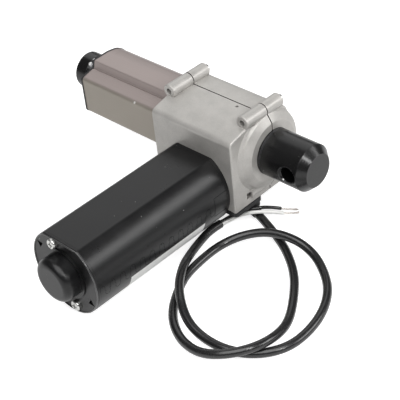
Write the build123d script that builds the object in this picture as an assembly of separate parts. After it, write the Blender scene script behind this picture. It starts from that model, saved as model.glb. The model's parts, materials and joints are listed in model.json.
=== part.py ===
from build123d import *
import math
import os

os.makedirs("parts", exist_ok=True)

# Electric linear actuator: an extruded tube with a telescoping rod, a cast gearbox split into
# two halves, a D-shaped motor set across it and a round rear connector.
# All sizes are in millimetres. The origin is the centre of the rear pin hole, +X runs out of
# the rear connector, the rod extends towards -X, the motor points to -Y and +Z is up.

# Fits
SEAT_GAP = 0.1
RUNNING_GAP = 0.05
SLIDING_GAP = 0.2

# Rear connector
PIN_D = 12.2
PIN_GRIP_L = 32.0
PIN_TO_TIP = 13.5
CONNECTOR_D = 35.0
TIP_D = 24.8
TIP_CHAMFER_L = 5.4
CONNECTOR_FLANGE_D = 46.0
CONNECTOR_FLANGE_L = 6.0
CONNECTOR_GROOVE_W = 1.0
CONNECTOR_GROOVE_DEPTH = 0.5

# Gearbox casting
PIN_TO_LIP = 26.1
LIP_D = 46.0
LIP_ROUND = 0.8
DOME_D = 58.8
DOME_H = 5.7
DOME_SHOULDER = 1.9
DOME_ROUND = 2.5
DOME_FLARE = 2.2
DOME_DEPTH = 8.0
CASE_L = 75.3
CASE_FRONT = 37.0
CASE_REAR = 24.0
CASE_BOTTOM = 36.0
ROOF_FRONT_Z = 23.2
ROOF_SHOULDER_Z = 27.3
ROOF_TOP_Z = 28.6
ROOF_REAR_Z = 27.0
ROOF_SHOULDER_Y = 20.0
ROOF_TOP_Y = 6.0
ROOF_ROUND = 60.0
FRONT_EDGE_ROUND = 4.5
REAR_EDGE_ROUND = 12.0
BOTTOM_REAR_ROUND = 3.0
BOTTOM_FRONT_ROUND = 1.5
CASE_END_ROUND = 1.2
PARTING_W = 0.8
PARTING_DEPTH = 1.4
CASE_WALL = 3.2

# Screw towers that clamp the two halves
TOWER_D = 10.4
TOWER_FRONT = 20.5
TOWER_REAR = 16.5
TOWER_BORE_D = 4.8
TOWER_BORE_DEPTH = 8.0
UPPER_TOWER_Z = 30.8
UPPER_TOWER_INSET = 2.8
LOWER_TOWER_D = 8.4
LOWER_TOWER_Z = -28.0
LOWER_TOWER_INSET = 2.1
NOTCH_L = 4.0
NOTCH_D = 6.4
HEAD_ROOM_D = 8.6
CASE_SCREW_D = 4.0
CASE_SCREW_HEAD_D = 7.6
CASE_SCREW_HEAD_H = 2.7
CASE_SCREW_TIP_DEPTH = 9.0

# Worm drive: module 1, a 30-tooth wheel on the screw and the worm on the armature shaft
MODULE = 1.0
WHEEL_TEETH = 30
WORM_PITCH_D = 13.0
WORM_L = 26.0
WHEEL_W = 12.0
WHEEL_RIM_RISE = 1.0
CASE_END_TO_WHEEL = 35.2
WHEEL_ROOM = 2.6
WORM_ROOM = 1.4

# Lead screw and its bearings
SCREW_D = 14.0
SCREW_BORE_D = 12.0
BEARING_OD = 32.0
BEARING_W = 10.0
BEARING_WALL = 2.6
BEARING_BALL_D = 5.6
BEARING_BALLS = 9
BUSH_OD = 22.0
BUSH_W = 6.0
LOCK_NUT_AF = 16.0
LOCK_NUT_H = 5.0
FLANGE_INSET = 4.2

# Extruded outer tube, in section
TUBE_VISIBLE_L = 89.1
TUBE_SEAT_L = 12.5
TUBE_BORE_D = 30.4
TUBE_FRONT = 24.8
TUBE_REAR = 21.5
TUBE_BOTTOM = 19.0
TUBE_TOP = 20.4
SHOULDER_Z = 11.0
STEP_FOOT = (-11.6, 14.4)
STEP_TOP = (-10.4, 19.9)
CROWN_Y = 5.0
CROWN_REAR = (14.5, 18.9)
REAR_CORNER_Z = 14.0
CROWN_ROUND = 25.0
CROWN_REAR_ROUND = 15.0
REAR_CORNER_ROUND = 5.0
TUBE_EDGE_ROUND = 3.0
TRACK_W = 1.0
TRACK_DEPTH = 0.8
SWITCH_ROOM_W = 6.6
SWITCH_ROOM_BOTTOM = 13.0
SWITCH_ROOM_TOP = 5.0
SWITCH_SLOT_H = 8.0
TUBE_SKIN = 2.1
PORT_D = 3.0
PORT_PLACES = ((15.5, 13.6), (16.5, -14.0), (-15.0, -15.0), (-20.0, 8.0))

# Tube end, bush and wiper
END_PLATE_T = 1.4
END_PLATE_OVERHANG = 0.3
GUIDE_BUSH_L = 12.0
WIPER_L = 2.4
WIPER_OD = 31.0
END_SCREW_HEAD_D = 5.4
END_SCREW_HEAD_H = 1.6
END_SCREW_L = 9.0

# Rod
ROD_D = 25.0
ROD_WALL = 2.0
NUT_L = 20.0
NUT_NECK_L = 10.0
NUT_END_GAP = 3.0
STROKE_LOSS = 29.1
ROD_TIP_GAP = 6.0
ROD_END_D = 28.6
ROD_END_L = 12.0
ROD_END_SPIGOT_L = 14.0
ROD_THREAD_D = 8.5
ROD_THREAD_L = 20.0
NUT_PIN_D = 3.0

# Motor, on its own axis across the gearbox
CAN_D = 62.0
CAN_FLAT = 26.2
CAN_EDGE_ROUND = 4.0
CAN_WALL = 1.6
CAN_L = 121.0
FRONT_PLATE_T = 3.0
END_PLATE_MOTOR_T = 2.0
REAR_CAP_D = 32.4
REAR_CAP_L = 13.0
REAR_CAP_ROUND = 5.0
CAP_BORE_D = 16.0
CAP_BUSH_SEAT = 4.0
BOSS_D = 38.0
BOSS_H = 1.0
BOLT_D = 4.0
BOLT_OFFSETS = ((-7.0, 22.0), (6.2, -24.0))
BOLT_HEAD_D = 7.8
BOLT_HEAD_H = 2.8
MOUNT_HEAD_D = 7.0
MOUNT_HEAD_H = 2.8
MOUNT_HEAD_INSET = 1.0
MOUNT_OFFSET_X = 20.5
MOUNT_Z = -29.0
VENT_RADIUS = 26.3
VENT_ANGLES = (147.0, -33.0)
VENT_SIZE = 3.3
SHAFT_D = 8.0
STACK_L = 60.0
STACK_TO_PLATE = 20.0
STACK_SLOTS = 10
SLOT_W = 5.2
SLOT_DEPTH = 9.0
MAGNET_T = 8.0
AIR_GAP = 0.8
MAGNET_ARC = 110.0
MAGNET_L = 66.0
COMMUTATOR_D = 20.0
COMMUTATOR_L = 14.0
COMMUTATOR_BARS = 20
WINDING_OVERHANG = 9.0
BRUSH_SIZE = (8.0, 7.0, 5.0)
BRUSH_GAP = 0.1
HOLDER_T = 2.5
MOTOR_BUSH_D = 15.8
MOTOR_BUSH_L = 7.0
WORM_BUSH_D = 14.0
WORM_BUSH_L = 6.0

# Cable cover and strain relief under the gearbox
COVER_T = 3.5
COVER_WALL = 2.2
BOX_END_INSET = 21.3
BOX_INSET = 1.5
COVER_REAR_Y = -8.5
COVER_FRONT_GAP = 0.5
COVER_LEFT_INSET = 6.0
COVER_ROUND = 3.0
COVER_SCREW_D = 3.0
COVER_SCREW_HEAD_D = 5.6
COVER_SCREW_HEAD_H = 1.6
COVER_SCREW_INSET = 5.0
COVER_SCREW_GRIP = 5.0
WIRE_ROOM_DEPTH = 3.0
RELIEF_INSET = 5.2
RELIEF_Y = -13.5
RELIEF_D = 9.0
RELIEF_RIB_D = 10.2
RELIEF_RIB_H = 1.4
RELIEF_RIB_PITCH = 2.6
RELIEF_REACH = 6.0
RELIEF_TIP_D = 7.6
RELIEF_HEADING = -20.7
RELIEF_DROP = 8.4

# Cable
CABLE_D = 6.2
CORE_D = 2.6
STRAND_D = 1.8
FIRST_RUN = 13.0
CORE_SPREAD = 1.45
CORE_RUN = 7.0
STRAND_RUN = 5.5

# Where the cable lies: X, Y and the height of its middle above where it rests on the floor
CLIMB = 3.0
OVER = 6.9
CABLE_TURNS = (
    (-5.7, -25.1, 0.0), (12.7, -33.7, 0.0), (32.3, -48.6, 0.0), (45.3, -67.9, 0.0),
    (54.0, -86.0, 0.0), (59.6, -101.1, CLIMB), (61.2, -119.6, OVER), (52.9, -137.3, OVER),
    (35.6, -145.3, CLIMB), (17.6, -143.1, 0.0), (3.0, -136.6, 0.0), (-9.2, -126.2, 0.0),
    (-19.1, -111.6, 0.0), (-25.0, -95.3, 0.0), (-25.7, -78.0, 0.0), (-25.4, -60.7, 0.0),
    (-18.5, -46.1, CLIMB), (-5.0, -35.6, OVER), (13.0, -30.4, OVER), (29.1, -29.3, CLIMB),
    (45.1, -35.5, 0.0), (59.6, -47.7, 0.0), (69.1, -66.1, 0.0), (74.1, -86.3, 0.0),
    (72.3, -105.4, 0.0), (62.2, -120.8, 0.0), (46.2, -129.1, 0.0), (26.8, -131.1, 0.0),
    (10.1, -129.2, CLIMB), (-4.9, -121.7, OVER), (-19.0, -109.0, OVER), (-28.9, -94.4, OVER),
    (-37.1, -79.6, CLIMB), (-43.8, -63.7, 0.0), (-46.4, -48.5, 0.0), (-45.9, -38.9, 0.0),
)
BLACK_TURNS = ((-40.6, -23.6, 6.2), (-31.8, -19.4, 9.4), (-26.4, -10.6, 8.6), (-21.2, -1.6, 3.8))
WHITE_TURNS = ((-37.4, -25.4, 5.8), (-28.6, -20.8, 9.2), (-21.6, -13.0, 7.8), (-17.1, -3.8, 3.0))
STRAND_TIPS = ((-14.6, 8.6), (-11.4, 6.6))

# Places worked out from the sizes above
LIP_X = -PIN_TO_LIP
CASE_RIGHT = LIP_X - DOME_H
CASE_LEFT = CASE_RIGHT - CASE_L
WHEEL_X = CASE_RIGHT - CASE_END_TO_WHEEL
WHEEL_PITCH_D = MODULE * WHEEL_TEETH
SHAFT_Z = -(WHEEL_PITCH_D + WORM_PITCH_D) / 2
WORM_OD = WORM_PITCH_D + 2 * MODULE
WORM_CORE_D = WORM_PITCH_D - 2.5 * MODULE
WHEEL_OD = WHEEL_PITCH_D + 2 * MODULE
TUBE_END = CASE_LEFT - TUBE_VISIBLE_L
TUBE_START = CASE_LEFT + TUBE_SEAT_L
FLANGE_FRONT = CASE_RIGHT - FLANGE_INSET
FLANGE_BACK = FLANGE_FRONT - CONNECTOR_FLANGE_L
BEARING_RIGHT = FLANGE_BACK - 1.0
BEARING_LEFT = BEARING_RIGHT - BEARING_W
WHEEL_RIGHT = WHEEL_X + WHEEL_W / 2
WHEEL_LEFT = WHEEL_X - WHEEL_W / 2
BUSH_RIGHT = WHEEL_LEFT - 3.0
BUSH_LEFT = BUSH_RIGHT - BUSH_W
NUT_RIGHT = TUBE_START - NUT_END_GAP
NUT_LEFT = NUT_RIGHT - NUT_L
STROKE = TUBE_VISIBLE_L - STROKE_LOSS
BUSH_INNER_X = TUBE_END + GUIDE_BUSH_L
SCREW_END = NUT_LEFT - STROKE - 6.0
END_PLATE_X = TUBE_END - END_PLATE_T
WIPER_X = END_PLATE_X - WIPER_L
ROD_END_X = WIPER_X - ROD_TIP_GAP
ROD_TIP_X = ROD_END_X - ROD_END_L
PLATE_Y = -CASE_FRONT
CAN_FRONT_Y = PLATE_Y - FRONT_PLATE_T
CAN_REAR_Y = CAN_FRONT_Y - CAN_L
MOTOR_END_Y = CAN_REAR_Y - END_PLATE_MOTOR_T
CAP_Y = MOTOR_END_Y - REAR_CAP_L
MAGNET_IN_D = CAN_D - 2 * (CAN_WALL + SEAT_GAP + MAGNET_T)
STACK_D = MAGNET_IN_D - 2 * AIR_GAP
STACK_FRONT_Y = CAN_FRONT_Y - STACK_TO_PLATE
STACK_REAR_Y = STACK_FRONT_Y - STACK_L
COMMUTATOR_Y = STACK_REAR_Y - WINDING_OVERHANG - 2.0
FLOOR_Z = SHAFT_Z - CAN_D / 2
COVER_Z = -CASE_BOTTOM - COVER_T
CABLE_Z = FLOOR_Z + CABLE_D / 2
BOX_L = CASE_L - COVER_LEFT_INSET - 2 * COVER_SCREW_INSET - BOX_END_INSET
RELIEF_PLACE = (CASE_RIGHT - RELIEF_INSET, RELIEF_Y)
BOLT_PLACES = tuple((WHEEL_X + x, SHAFT_Z + z) for x, z in BOLT_OFFSETS)
MOUNT_SCREW_PLACES = ((WHEEL_X - MOUNT_OFFSET_X, MOUNT_Z), (WHEEL_X + MOUNT_OFFSET_X, MOUNT_Z))
TOWERS = (
    (CASE_LEFT + UPPER_TOWER_INSET, UPPER_TOWER_Z),
    (CASE_RIGHT - UPPER_TOWER_INSET, UPPER_TOWER_Z),
    (CASE_RIGHT - LOWER_TOWER_INSET, LOWER_TOWER_Z),
    (CASE_LEFT + LOWER_TOWER_INSET, LOWER_TOWER_Z),
)


def along_x(sketch, start, end):
    """Extrude a sketch drawn in (Y, Z) from one X place to another."""
    return extrude(Plane.YZ.offset(min(start, end)) * sketch, amount=abs(end - start))


def along_y(sketch, start, end):
    """Extrude a sketch drawn in (X, Z) from one Y place to another."""
    return extrude(Plane.XZ.offset(-max(start, end)) * sketch, amount=abs(end - start))


def along_z(sketch, start, end):
    """Extrude a sketch drawn in (X, Y) from one height to another."""
    return extrude(Plane.XY.offset(min(start, end)) * sketch, amount=abs(end - start))


def round_x(diameter, start, end, place=(0, 0)):
    return along_x(Pos(*place) * Circle(diameter / 2), start, end)


def round_y(diameter, start, end, place=(0, 0)):
    return along_y(Pos(*place) * Circle(diameter / 2), start, end)


def round_z(diameter, start, end, place=(0, 0)):
    return along_z(Pos(*place) * Circle(diameter / 2), start, end)


def turned_x(corners, radii):
    """A solid turned about the X axis from an outline of (x, radius) corners."""
    outline = make_face(FilletPolyline(*corners, radius=radii, close=True))
    return revolve(outline, axis=Axis.X)


def save(node, *solids):
    """Write one node's solids to its own file."""
    shape = solids[0] if len(solids) == 1 else Compound(children=[s for s in solids])
    export_step(shape, f"parts/{node}.step")


def tube_outline(grow=0.0):
    """The extrusion's outer section in (Y, Z), with the shoulder that holds the switch room."""
    corners = [
        (-TUBE_FRONT, -TUBE_BOTTOM),
        (-TUBE_FRONT, SHOULDER_Z),
        STEP_FOOT,
        STEP_TOP,
        (CROWN_Y, TUBE_TOP),
        CROWN_REAR,
        (TUBE_REAR, REAR_CORNER_Z),
        (TUBE_REAR, -TUBE_BOTTOM),
    ]
    crown_rounds = [CROWN_ROUND, CROWN_REAR_ROUND, REAR_CORNER_ROUND]
    rounds = [TUBE_EDGE_ROUND, TUBE_EDGE_ROUND, 0.6, 1.2] + crown_rounds + [TUBE_EDGE_ROUND]
    face = make_face(FilletPolyline(*corners, radius=rounds, close=True))
    return offset(face, amount=grow) if grow else face


def can_outline(inset=0.0):
    """The motor's D section in (X, Z), a circle with its top cut flat."""
    radius = CAN_D / 2 - inset
    flat = CAN_FLAT - inset
    block = Pos(0, flat - radius) * Rectangle(2 * radius, 2 * radius)
    face = fillet((Circle(radius) & block).vertices(), max(CAN_EDGE_ROUND - inset, 0.5))
    return Pos(WHEEL_X, SHAFT_Z) * face


def case_outline():
    """The gearbox's outer section in (Y, Z)."""
    corners = [
        (-CASE_FRONT, ROOF_FRONT_Z),
        (-ROOF_SHOULDER_Y, ROOF_SHOULDER_Z),
        (ROOF_TOP_Y, ROOF_TOP_Z),
        (CASE_REAR, ROOF_REAR_Z),
        (CASE_REAR, -CASE_BOTTOM),
        (-CASE_FRONT, -CASE_BOTTOM),
    ]
    rounds = [FRONT_EDGE_ROUND, ROOF_ROUND, ROOF_ROUND, REAR_EDGE_ROUND, BOTTOM_REAR_ROUND, BOTTOM_FRONT_ROUND]
    return make_face(FilletPolyline(*corners, radius=rounds, close=True))


def case_body():
    """The outside of both gearbox halves together."""
    block = along_x(case_outline(), CASE_LEFT, CASE_RIGHT)
    ends = block.faces().filter_by(Axis.X)
    block = fillet([e for face in ends for e in face.edges()], CASE_END_ROUND)
    back = CASE_RIGHT - DOME_DEPTH
    radius = DOME_D / 2
    shoulder = CASE_RIGHT + DOME_SHOULDER
    dome = turned_x(
        [
            (back, 0.0),
            (back, radius),
            (shoulder, radius),
            (LIP_X, LIP_D / 2),
            (LIP_X, 0.0),
        ],
        [0.0, 0.5, DOME_ROUND, LIP_ROUND, 0.0],
    )
    foot = turned_x(
        [
            (CASE_RIGHT - 1.0, radius - 1.0),
            (CASE_RIGHT - 1.0, radius + DOME_FLARE),
            (CASE_RIGHT, radius + DOME_FLARE),
            (CASE_RIGHT + DOME_SHOULDER / 2, radius + DOME_FLARE / 4),
            (shoulder, radius - 0.5),
        ],
        [0.0, 0.0, 0.0, 1.0, 0.0],
    )
    foot &= along_x(offset(case_outline(), amount=-CASE_END_ROUND), CASE_LEFT, LIP_X)
    body = block + dome + foot
    for place in TOWERS[:2]:
        tower = round_y(TOWER_D, -TOWER_FRONT, TOWER_REAR, place)
        body += fillet(tower.faces().sort_by(Axis.Y)[0].edges(), 0.8)
    for place in TOWERS[2:]:
        body += round_y(LOWER_TOWER_D, -TOWER_FRONT, TOWER_REAR, place)
        body -= round_y(NOTCH_D, -TOWER_FRONT - NOTCH_L, -TOWER_FRONT, place)
    return body


def case_cavities():
    """The rooms and seats inside the gearbox, each made from the piece that it holds."""
    bearing_seat = BEARING_OD + 2 * SEAT_GAP
    wheel_room = WHEEL_OD + 2 * WHEEL_ROOM
    rooms = round_x(CONNECTOR_D + 2 * SEAT_GAP, FLANGE_FRONT - 1.0, LIP_X + 1.0)
    rooms += round_x(CONNECTOR_FLANGE_D + 2 * SEAT_GAP, FLANGE_BACK - SEAT_GAP, FLANGE_FRONT)
    rooms += round_x(bearing_seat, BEARING_LEFT, FLANGE_BACK)
    rooms += round_x(BEARING_OD - 6.0, WHEEL_RIGHT + WHEEL_ROOM, BEARING_LEFT)
    rooms += round_x(wheel_room, WHEEL_LEFT - 2.0, WHEEL_RIGHT + WHEEL_ROOM)
    rooms += round_x(BUSH_OD + 2 * SEAT_GAP, BUSH_LEFT, WHEEL_LEFT)
    rooms += round_x(TUBE_BORE_D, TUBE_START - 1.0, BUSH_LEFT)
    rooms += along_x(tube_outline(SEAT_GAP), CASE_LEFT - 1.0, TUBE_START)
    worm_place = (WHEEL_X, SHAFT_Z)
    worm_end = WORM_L / 2 + 1.5
    rooms += round_y(WORM_OD + 2 * WORM_ROOM, PLATE_Y - 1.0, worm_end, worm_place)
    rooms += round_y(WORM_BUSH_D + 2 * SEAT_GAP, worm_end, worm_end + WORM_BUSH_L + 1.0, worm_place)
    wire_room = Pos((CASE_LEFT + CASE_RIGHT) / 2, (-CASE_FRONT + COVER_REAR_Y) / 2)
    wire_room *= Rectangle(CASE_L - 4 * COVER_SCREW_INSET, CASE_FRONT + COVER_REAR_Y - 2 * CASE_WALL)
    rooms += along_z(wire_room, -CASE_BOTTOM - 1.0, -CASE_BOTTOM + WIRE_ROOM_DEPTH)
    for place in TOWERS:
        rooms += round_y(CASE_SCREW_D, -TOWER_FRONT - NOTCH_L, TOWER_REAR + 1.0, place)
        rooms += round_y(TOWER_BORE_D, -TOWER_FRONT - NOTCH_L, -TOWER_FRONT + TOWER_BORE_DEPTH, place)
        rooms += round_y(HEAD_ROOM_D, TOWER_REAR, CASE_REAR + DOME_D, place)
    for place in MOUNT_SCREW_PLACES:
        rooms += round_y(BOLT_D, PLATE_Y - 1.0, 0.0, place)
        rooms += round_y(MOUNT_HEAD_D + 0.4, -MOUNT_HEAD_INSET - MOUNT_HEAD_H, PARTING_W, place)
    for place in cover_screw_places():
        rooms += round_z(COVER_SCREW_D, -CASE_BOTTOM - 1.0, -CASE_BOTTOM + COVER_SCREW_GRIP + 1.0, place)
    return rooms


def gearbox_halves():
    """The front half, which carries the motor, and the rear half, parted at the screw axis."""
    body = case_body()
    seam = section(body, section_by=Plane.XZ)
    core = extrude(offset(seam.faces()[0], amount=-PARTING_DEPTH), amount=PARTING_W, both=True)
    size = 4 * CASE_L
    slab = Pos(CASE_LEFT, 0, 0) * Box(size, PARTING_W, size)
    body = body - (slab - core) - case_cavities()
    front = body & (Pos(CASE_LEFT, -size / 2, 0) * Box(size, size, size))
    rear = body & (Pos(CASE_LEFT, size / 2, 0) * Box(size, size, size))
    return front, rear


def gearbox_screws():
    screws = []
    for place in TOWERS:
        shank = round_y(CASE_SCREW_D, -TOWER_FRONT + CASE_SCREW_TIP_DEPTH, TOWER_REAR, place)
        head = round_y(CASE_SCREW_HEAD_D, TOWER_REAR, TOWER_REAR + CASE_SCREW_HEAD_H, place)
        head = fillet(head.faces().sort_by(Axis.Y)[-1].edges(), 1.2)
        slot = Pos(*place) * (Rectangle(4.2, 0.9) + Rectangle(0.9, 4.2))
        recess = along_y(slot, TOWER_REAR + CASE_SCREW_HEAD_H - 1.4, TOWER_REAR + CASE_SCREW_HEAD_H + 1)
        screws.append(shank + head - recess)
    return screws


def rear_connector():
    radius = CONNECTOR_D / 2
    groove_x = LIP_X + 1.4
    body = turned_x(
        [
            (FLANGE_BACK, 0.0),
            (FLANGE_BACK, CONNECTOR_FLANGE_D / 2),
            (FLANGE_FRONT - SEAT_GAP, CONNECTOR_FLANGE_D / 2),
            (FLANGE_FRONT - SEAT_GAP, radius),
            (PIN_TO_TIP - TIP_CHAMFER_L, radius),
            (PIN_TO_TIP, TIP_D / 2),
            (PIN_TO_TIP, 0.0),
        ],
        [0.0, 0.6, 0.6, 0.0, 0.5, 0.3, 0.0],
    )
    inner = round_x(CONNECTOR_D - 2 * CONNECTOR_GROOVE_DEPTH, groove_x - 1, groove_x + 1 + CONNECTOR_GROOVE_W)
    groove = round_x(CONNECTOR_D + 4, groove_x, groove_x + CONNECTOR_GROOVE_W) - inner
    body -= groove
    body -= round_x(LOCK_NUT_AF + 6.0, FLANGE_BACK - 1.0, FLANGE_FRONT)
    body -= round_y(PIN_D, -CONNECTOR_D, CONNECTOR_D)
    depth = radius - PIN_GRIP_L / 2
    sink = Cone(PIN_D / 2, PIN_D / 2 + 2 * depth, 2 * depth)
    for side in (-1, 1):
        body -= Pos(0, side * (PIN_GRIP_L / 2 + depth), 0) * (Rotation(-90 * side, 0, 0) * sink)
    return body


def screw_bearing():
    """The ball bearing at the connector end: outer ring, inner ring and balls."""
    bore = SCREW_BORE_D / 2
    outer = BEARING_OD / 2
    middle = (bore + outer) / 2
    ball = BEARING_BALL_D / 2
    centre = (BEARING_LEFT + BEARING_RIGHT) / 2
    outer_ring = round_x(2 * outer, BEARING_LEFT, BEARING_RIGHT) - round_x(
        2 * (outer - BEARING_WALL), BEARING_LEFT - 1, BEARING_RIGHT + 1)
    inner_ring = round_x(2 * (bore + BEARING_WALL), BEARING_LEFT, BEARING_RIGHT) - round_x(
        2 * bore, BEARING_LEFT - 1, BEARING_RIGHT + 1)
    track = Pos(centre, 0, 0) * (Rotation(0, 90, 0) * Torus(middle, ball + 0.1))
    outer_ring -= track
    inner_ring -= track
    balls = []
    for i in range(BEARING_BALLS):
        angle = 2 * math.pi * i / BEARING_BALLS
        balls.append(Pos(centre, middle * math.cos(angle), middle * math.sin(angle)) * Sphere(ball))
    return outer_ring, inner_ring, balls


def lead_screw():
    """The screw: thread, collar against the wheel, bearing journal and the locknut's stub."""
    collar = SCREW_BORE_D / 2 + 3.0
    body = round_x(SCREW_D, SCREW_END, BUSH_LEFT)
    body = chamfer(body.faces().sort_by(Axis.X)[0].edges(), 1.2)
    body += round_x(SCREW_D, BUSH_LEFT, WHEEL_LEFT)
    body += round_x(SCREW_BORE_D, WHEEL_LEFT, BEARING_RIGHT)
    body += round_x(2 * collar, WHEEL_RIGHT, BEARING_LEFT)
    body += round_x(SCREW_BORE_D - 2.0, BEARING_RIGHT, FLANGE_FRONT - 1.5)
    return body


def lock_nut():
    start = BEARING_RIGHT
    hexagon = RegularPolygon(LOCK_NUT_AF / 2, 6, major_radius=False)
    nut = along_x(hexagon, start, start + LOCK_NUT_H)
    return nut - round_x(SCREW_BORE_D - 2.0, start - 1, start + LOCK_NUT_H + 1)


def worm_wheel():
    """The toothed wheel, throated to sit round the worm."""
    tip = WHEEL_OD / 2 + WHEEL_RIM_RISE
    root = WHEEL_PITCH_D / 2 - 1.25 * MODULE
    width = WHEEL_PITCH_D * math.pi / WHEEL_TEETH / 2
    foot = (root - 0.4, width * 0.75)
    top = (tip + 0.5, width * 0.2)
    flank = Polygon((foot[0], -foot[1]), (top[0], -top[1]), top, foot, align=None)
    gear = Circle(root)
    for i in range(WHEEL_TEETH):
        gear += Rot(0, 0, 360.0 * i / WHEEL_TEETH) * flank
    gear = (gear & Circle(tip)) - Circle(SCREW_BORE_D / 2)
    wheel = along_x(gear, WHEEL_LEFT, WHEEL_RIGHT)
    throat = Pos(WHEEL_X, -SHAFT_Z) * Circle(-SHAFT_Z - WHEEL_OD / 2)
    return wheel - revolve(throat, axis=Axis.X)


def worm():
    """The worm's core, a sleeve on the armature shaft that the wheel's teeth clear."""
    place = (WHEEL_X, SHAFT_Z)
    sleeve = round_y(WORM_CORE_D, -WORM_L / 2, WORM_L / 2, place)
    sleeve = chamfer(sleeve.faces().filter_by(Axis.Y).edges(), 0.6)
    return sleeve - round_y(SHAFT_D, -WORM_L, WORM_L, place)


def outer_tube():
    face = tube_outline()
    face -= Circle(TUBE_BORE_D / 2)
    room_y = (-TUBE_FRONT + TUBE_SKIN + SWITCH_ROOM_W / 2)
    room_z = (SWITCH_ROOM_TOP - SWITCH_ROOM_BOTTOM) / 2
    face -= Pos(room_y, room_z) * Rectangle(SWITCH_ROOM_W, SWITCH_ROOM_TOP + SWITCH_ROOM_BOTTOM)
    face -= Pos(room_y + SWITCH_ROOM_W / 2 + 1.0, 0) * Rectangle(6.0, SWITCH_SLOT_H)
    track = Pos(STEP_FOOT[0] - TRACK_W, STEP_FOOT[1])
    face -= track * Rectangle(TRACK_W, 2 * TRACK_DEPTH)
    for place in PORT_PLACES:
        face -= Pos(*place) * Circle(PORT_D / 2)
    return along_x(face, TUBE_END, TUBE_START)


def tube_end_plate():
    face = tube_outline(END_PLATE_OVERHANG) - Circle(ROD_D / 2 + 0.6)
    for place in PORT_PLACES:
        face -= Pos(*place) * Circle(PORT_D / 2 + SEAT_GAP)
    return along_x(face, END_PLATE_X, TUBE_END)


def tube_end_screws():
    screws = []
    for place in PORT_PLACES:
        shank = round_x(PORT_D - 0.1, END_PLATE_X, TUBE_END + END_SCREW_L, place)
        head = round_x(END_SCREW_HEAD_D, END_PLATE_X - END_SCREW_HEAD_H, END_PLATE_X, place)
        head = fillet(head.faces().sort_by(Axis.X)[0].edges(), 0.8)
        screws.append(shank + head)
    return screws


def guide_bush():
    ring = Circle(TUBE_BORE_D / 2 - SEAT_GAP) - Circle(ROD_D / 2 + RUNNING_GAP)
    return along_x(ring, TUBE_END, BUSH_INNER_X)


def rod_wiper():
    body = turned_x(
        [
            (END_PLATE_X, ROD_D / 2 + 0.1),
            (END_PLATE_X, WIPER_OD / 2),
            (WIPER_X, WIPER_OD / 2 - 1.0),
            (WIPER_X, ROD_D / 2 + 0.1),
        ],
        [0.0, 0.3, 0.6, 0.3],
    )
    return body


def inner_tube():
    ring = Circle(ROD_D / 2) - Circle(ROD_D / 2 - ROD_WALL)
    tube = along_x(ring, ROD_END_X, NUT_LEFT)
    for place in nut_pin_places():
        tube -= place
    return tube


def nut_pin_places():
    """The two pins through the rod's wall into the nut's neck."""
    x = NUT_LEFT - NUT_NECK_L / 2
    outer = ROD_D / 2 - 0.2
    inner = ROD_D / 2 - ROD_WALL - 2.0
    pin = along_z(Pos(x, 0) * Circle(NUT_PIN_D / 2), inner, outer)
    return [pin, Rotation(180, 0, 0) * pin]


def drive_nut():
    body = round_x(TUBE_BORE_D - 2 * SLIDING_GAP, NUT_LEFT, NUT_RIGHT)
    body = chamfer(body.faces().filter_by(Axis.X).edges(), 0.8)
    body += round_x(ROD_D - 2 * ROD_WALL - 0.02, NUT_LEFT - NUT_NECK_L, NUT_LEFT)
    body -= round_x(SCREW_D + 2 * RUNNING_GAP, NUT_LEFT - NUT_NECK_L - 1, NUT_RIGHT + 1)
    for pin in nut_pin_places():
        body -= pin
    return body


def front_connector():
    """The rod's end piece: a round head, a spigot inside the rod and an M10 thread."""
    head = round_x(ROD_END_D, ROD_TIP_X, ROD_END_X)
    head = chamfer(head.faces().filter_by(Axis.X).edges(), 0.8)
    head += round_x(ROD_D - 2 * ROD_WALL - 0.02, ROD_END_X, ROD_END_X + ROD_END_SPIGOT_L)
    return head - round_x(ROD_THREAD_D, ROD_TIP_X - 1, ROD_TIP_X + ROD_THREAD_L)


def switch_parts():
    """The limit switches on their strip, in the room beside the tube's bore."""
    y = -TUBE_FRONT + TUBE_SKIN + 0.3
    middle = (SWITCH_ROOM_TOP - SWITCH_ROOM_BOTTOM) / 2
    strip_start = TUBE_END + 4.0
    strip = Pos((strip_start + TUBE_START) / 2, y + 0.8, middle)
    strip *= Box(TUBE_START - strip_start - 4.0, 1.6, SWITCH_ROOM_TOP + SWITCH_ROOM_BOTTOM - 3.0)
    switches = []
    for x in (NUT_LEFT + 6.0, NUT_LEFT + 6.0 - STROKE):
        switches.append(Pos(x, y + 1.6 + 1.9, -1.0) * Box(19.0, 3.8, 9.0))
    return strip, switches


def motor_can():
    body = along_y(can_outline() - can_outline(CAN_WALL), CAN_REAR_Y, CAN_FRONT_Y)
    return body


def motor_front_plate():
    place = (WHEEL_X, SHAFT_Z)
    plate = along_y(can_outline(), CAN_FRONT_Y, PLATE_Y)
    plate += round_y(MOTOR_BUSH_D + 8.0, CAN_FRONT_Y - MOTOR_BUSH_L + FRONT_PLATE_T, CAN_FRONT_Y, place)
    plate -= round_y(MOTOR_BUSH_D + 2 * SEAT_GAP, CAN_FRONT_Y - MOTOR_BUSH_L, PLATE_Y + 1.0, place)
    for bolt in BOLT_PLACES + MOUNT_SCREW_PLACES:
        plate -= round_y(BOLT_D, CAN_FRONT_Y - 1.0, PLATE_Y + 1.0, bolt)
    return plate


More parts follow.
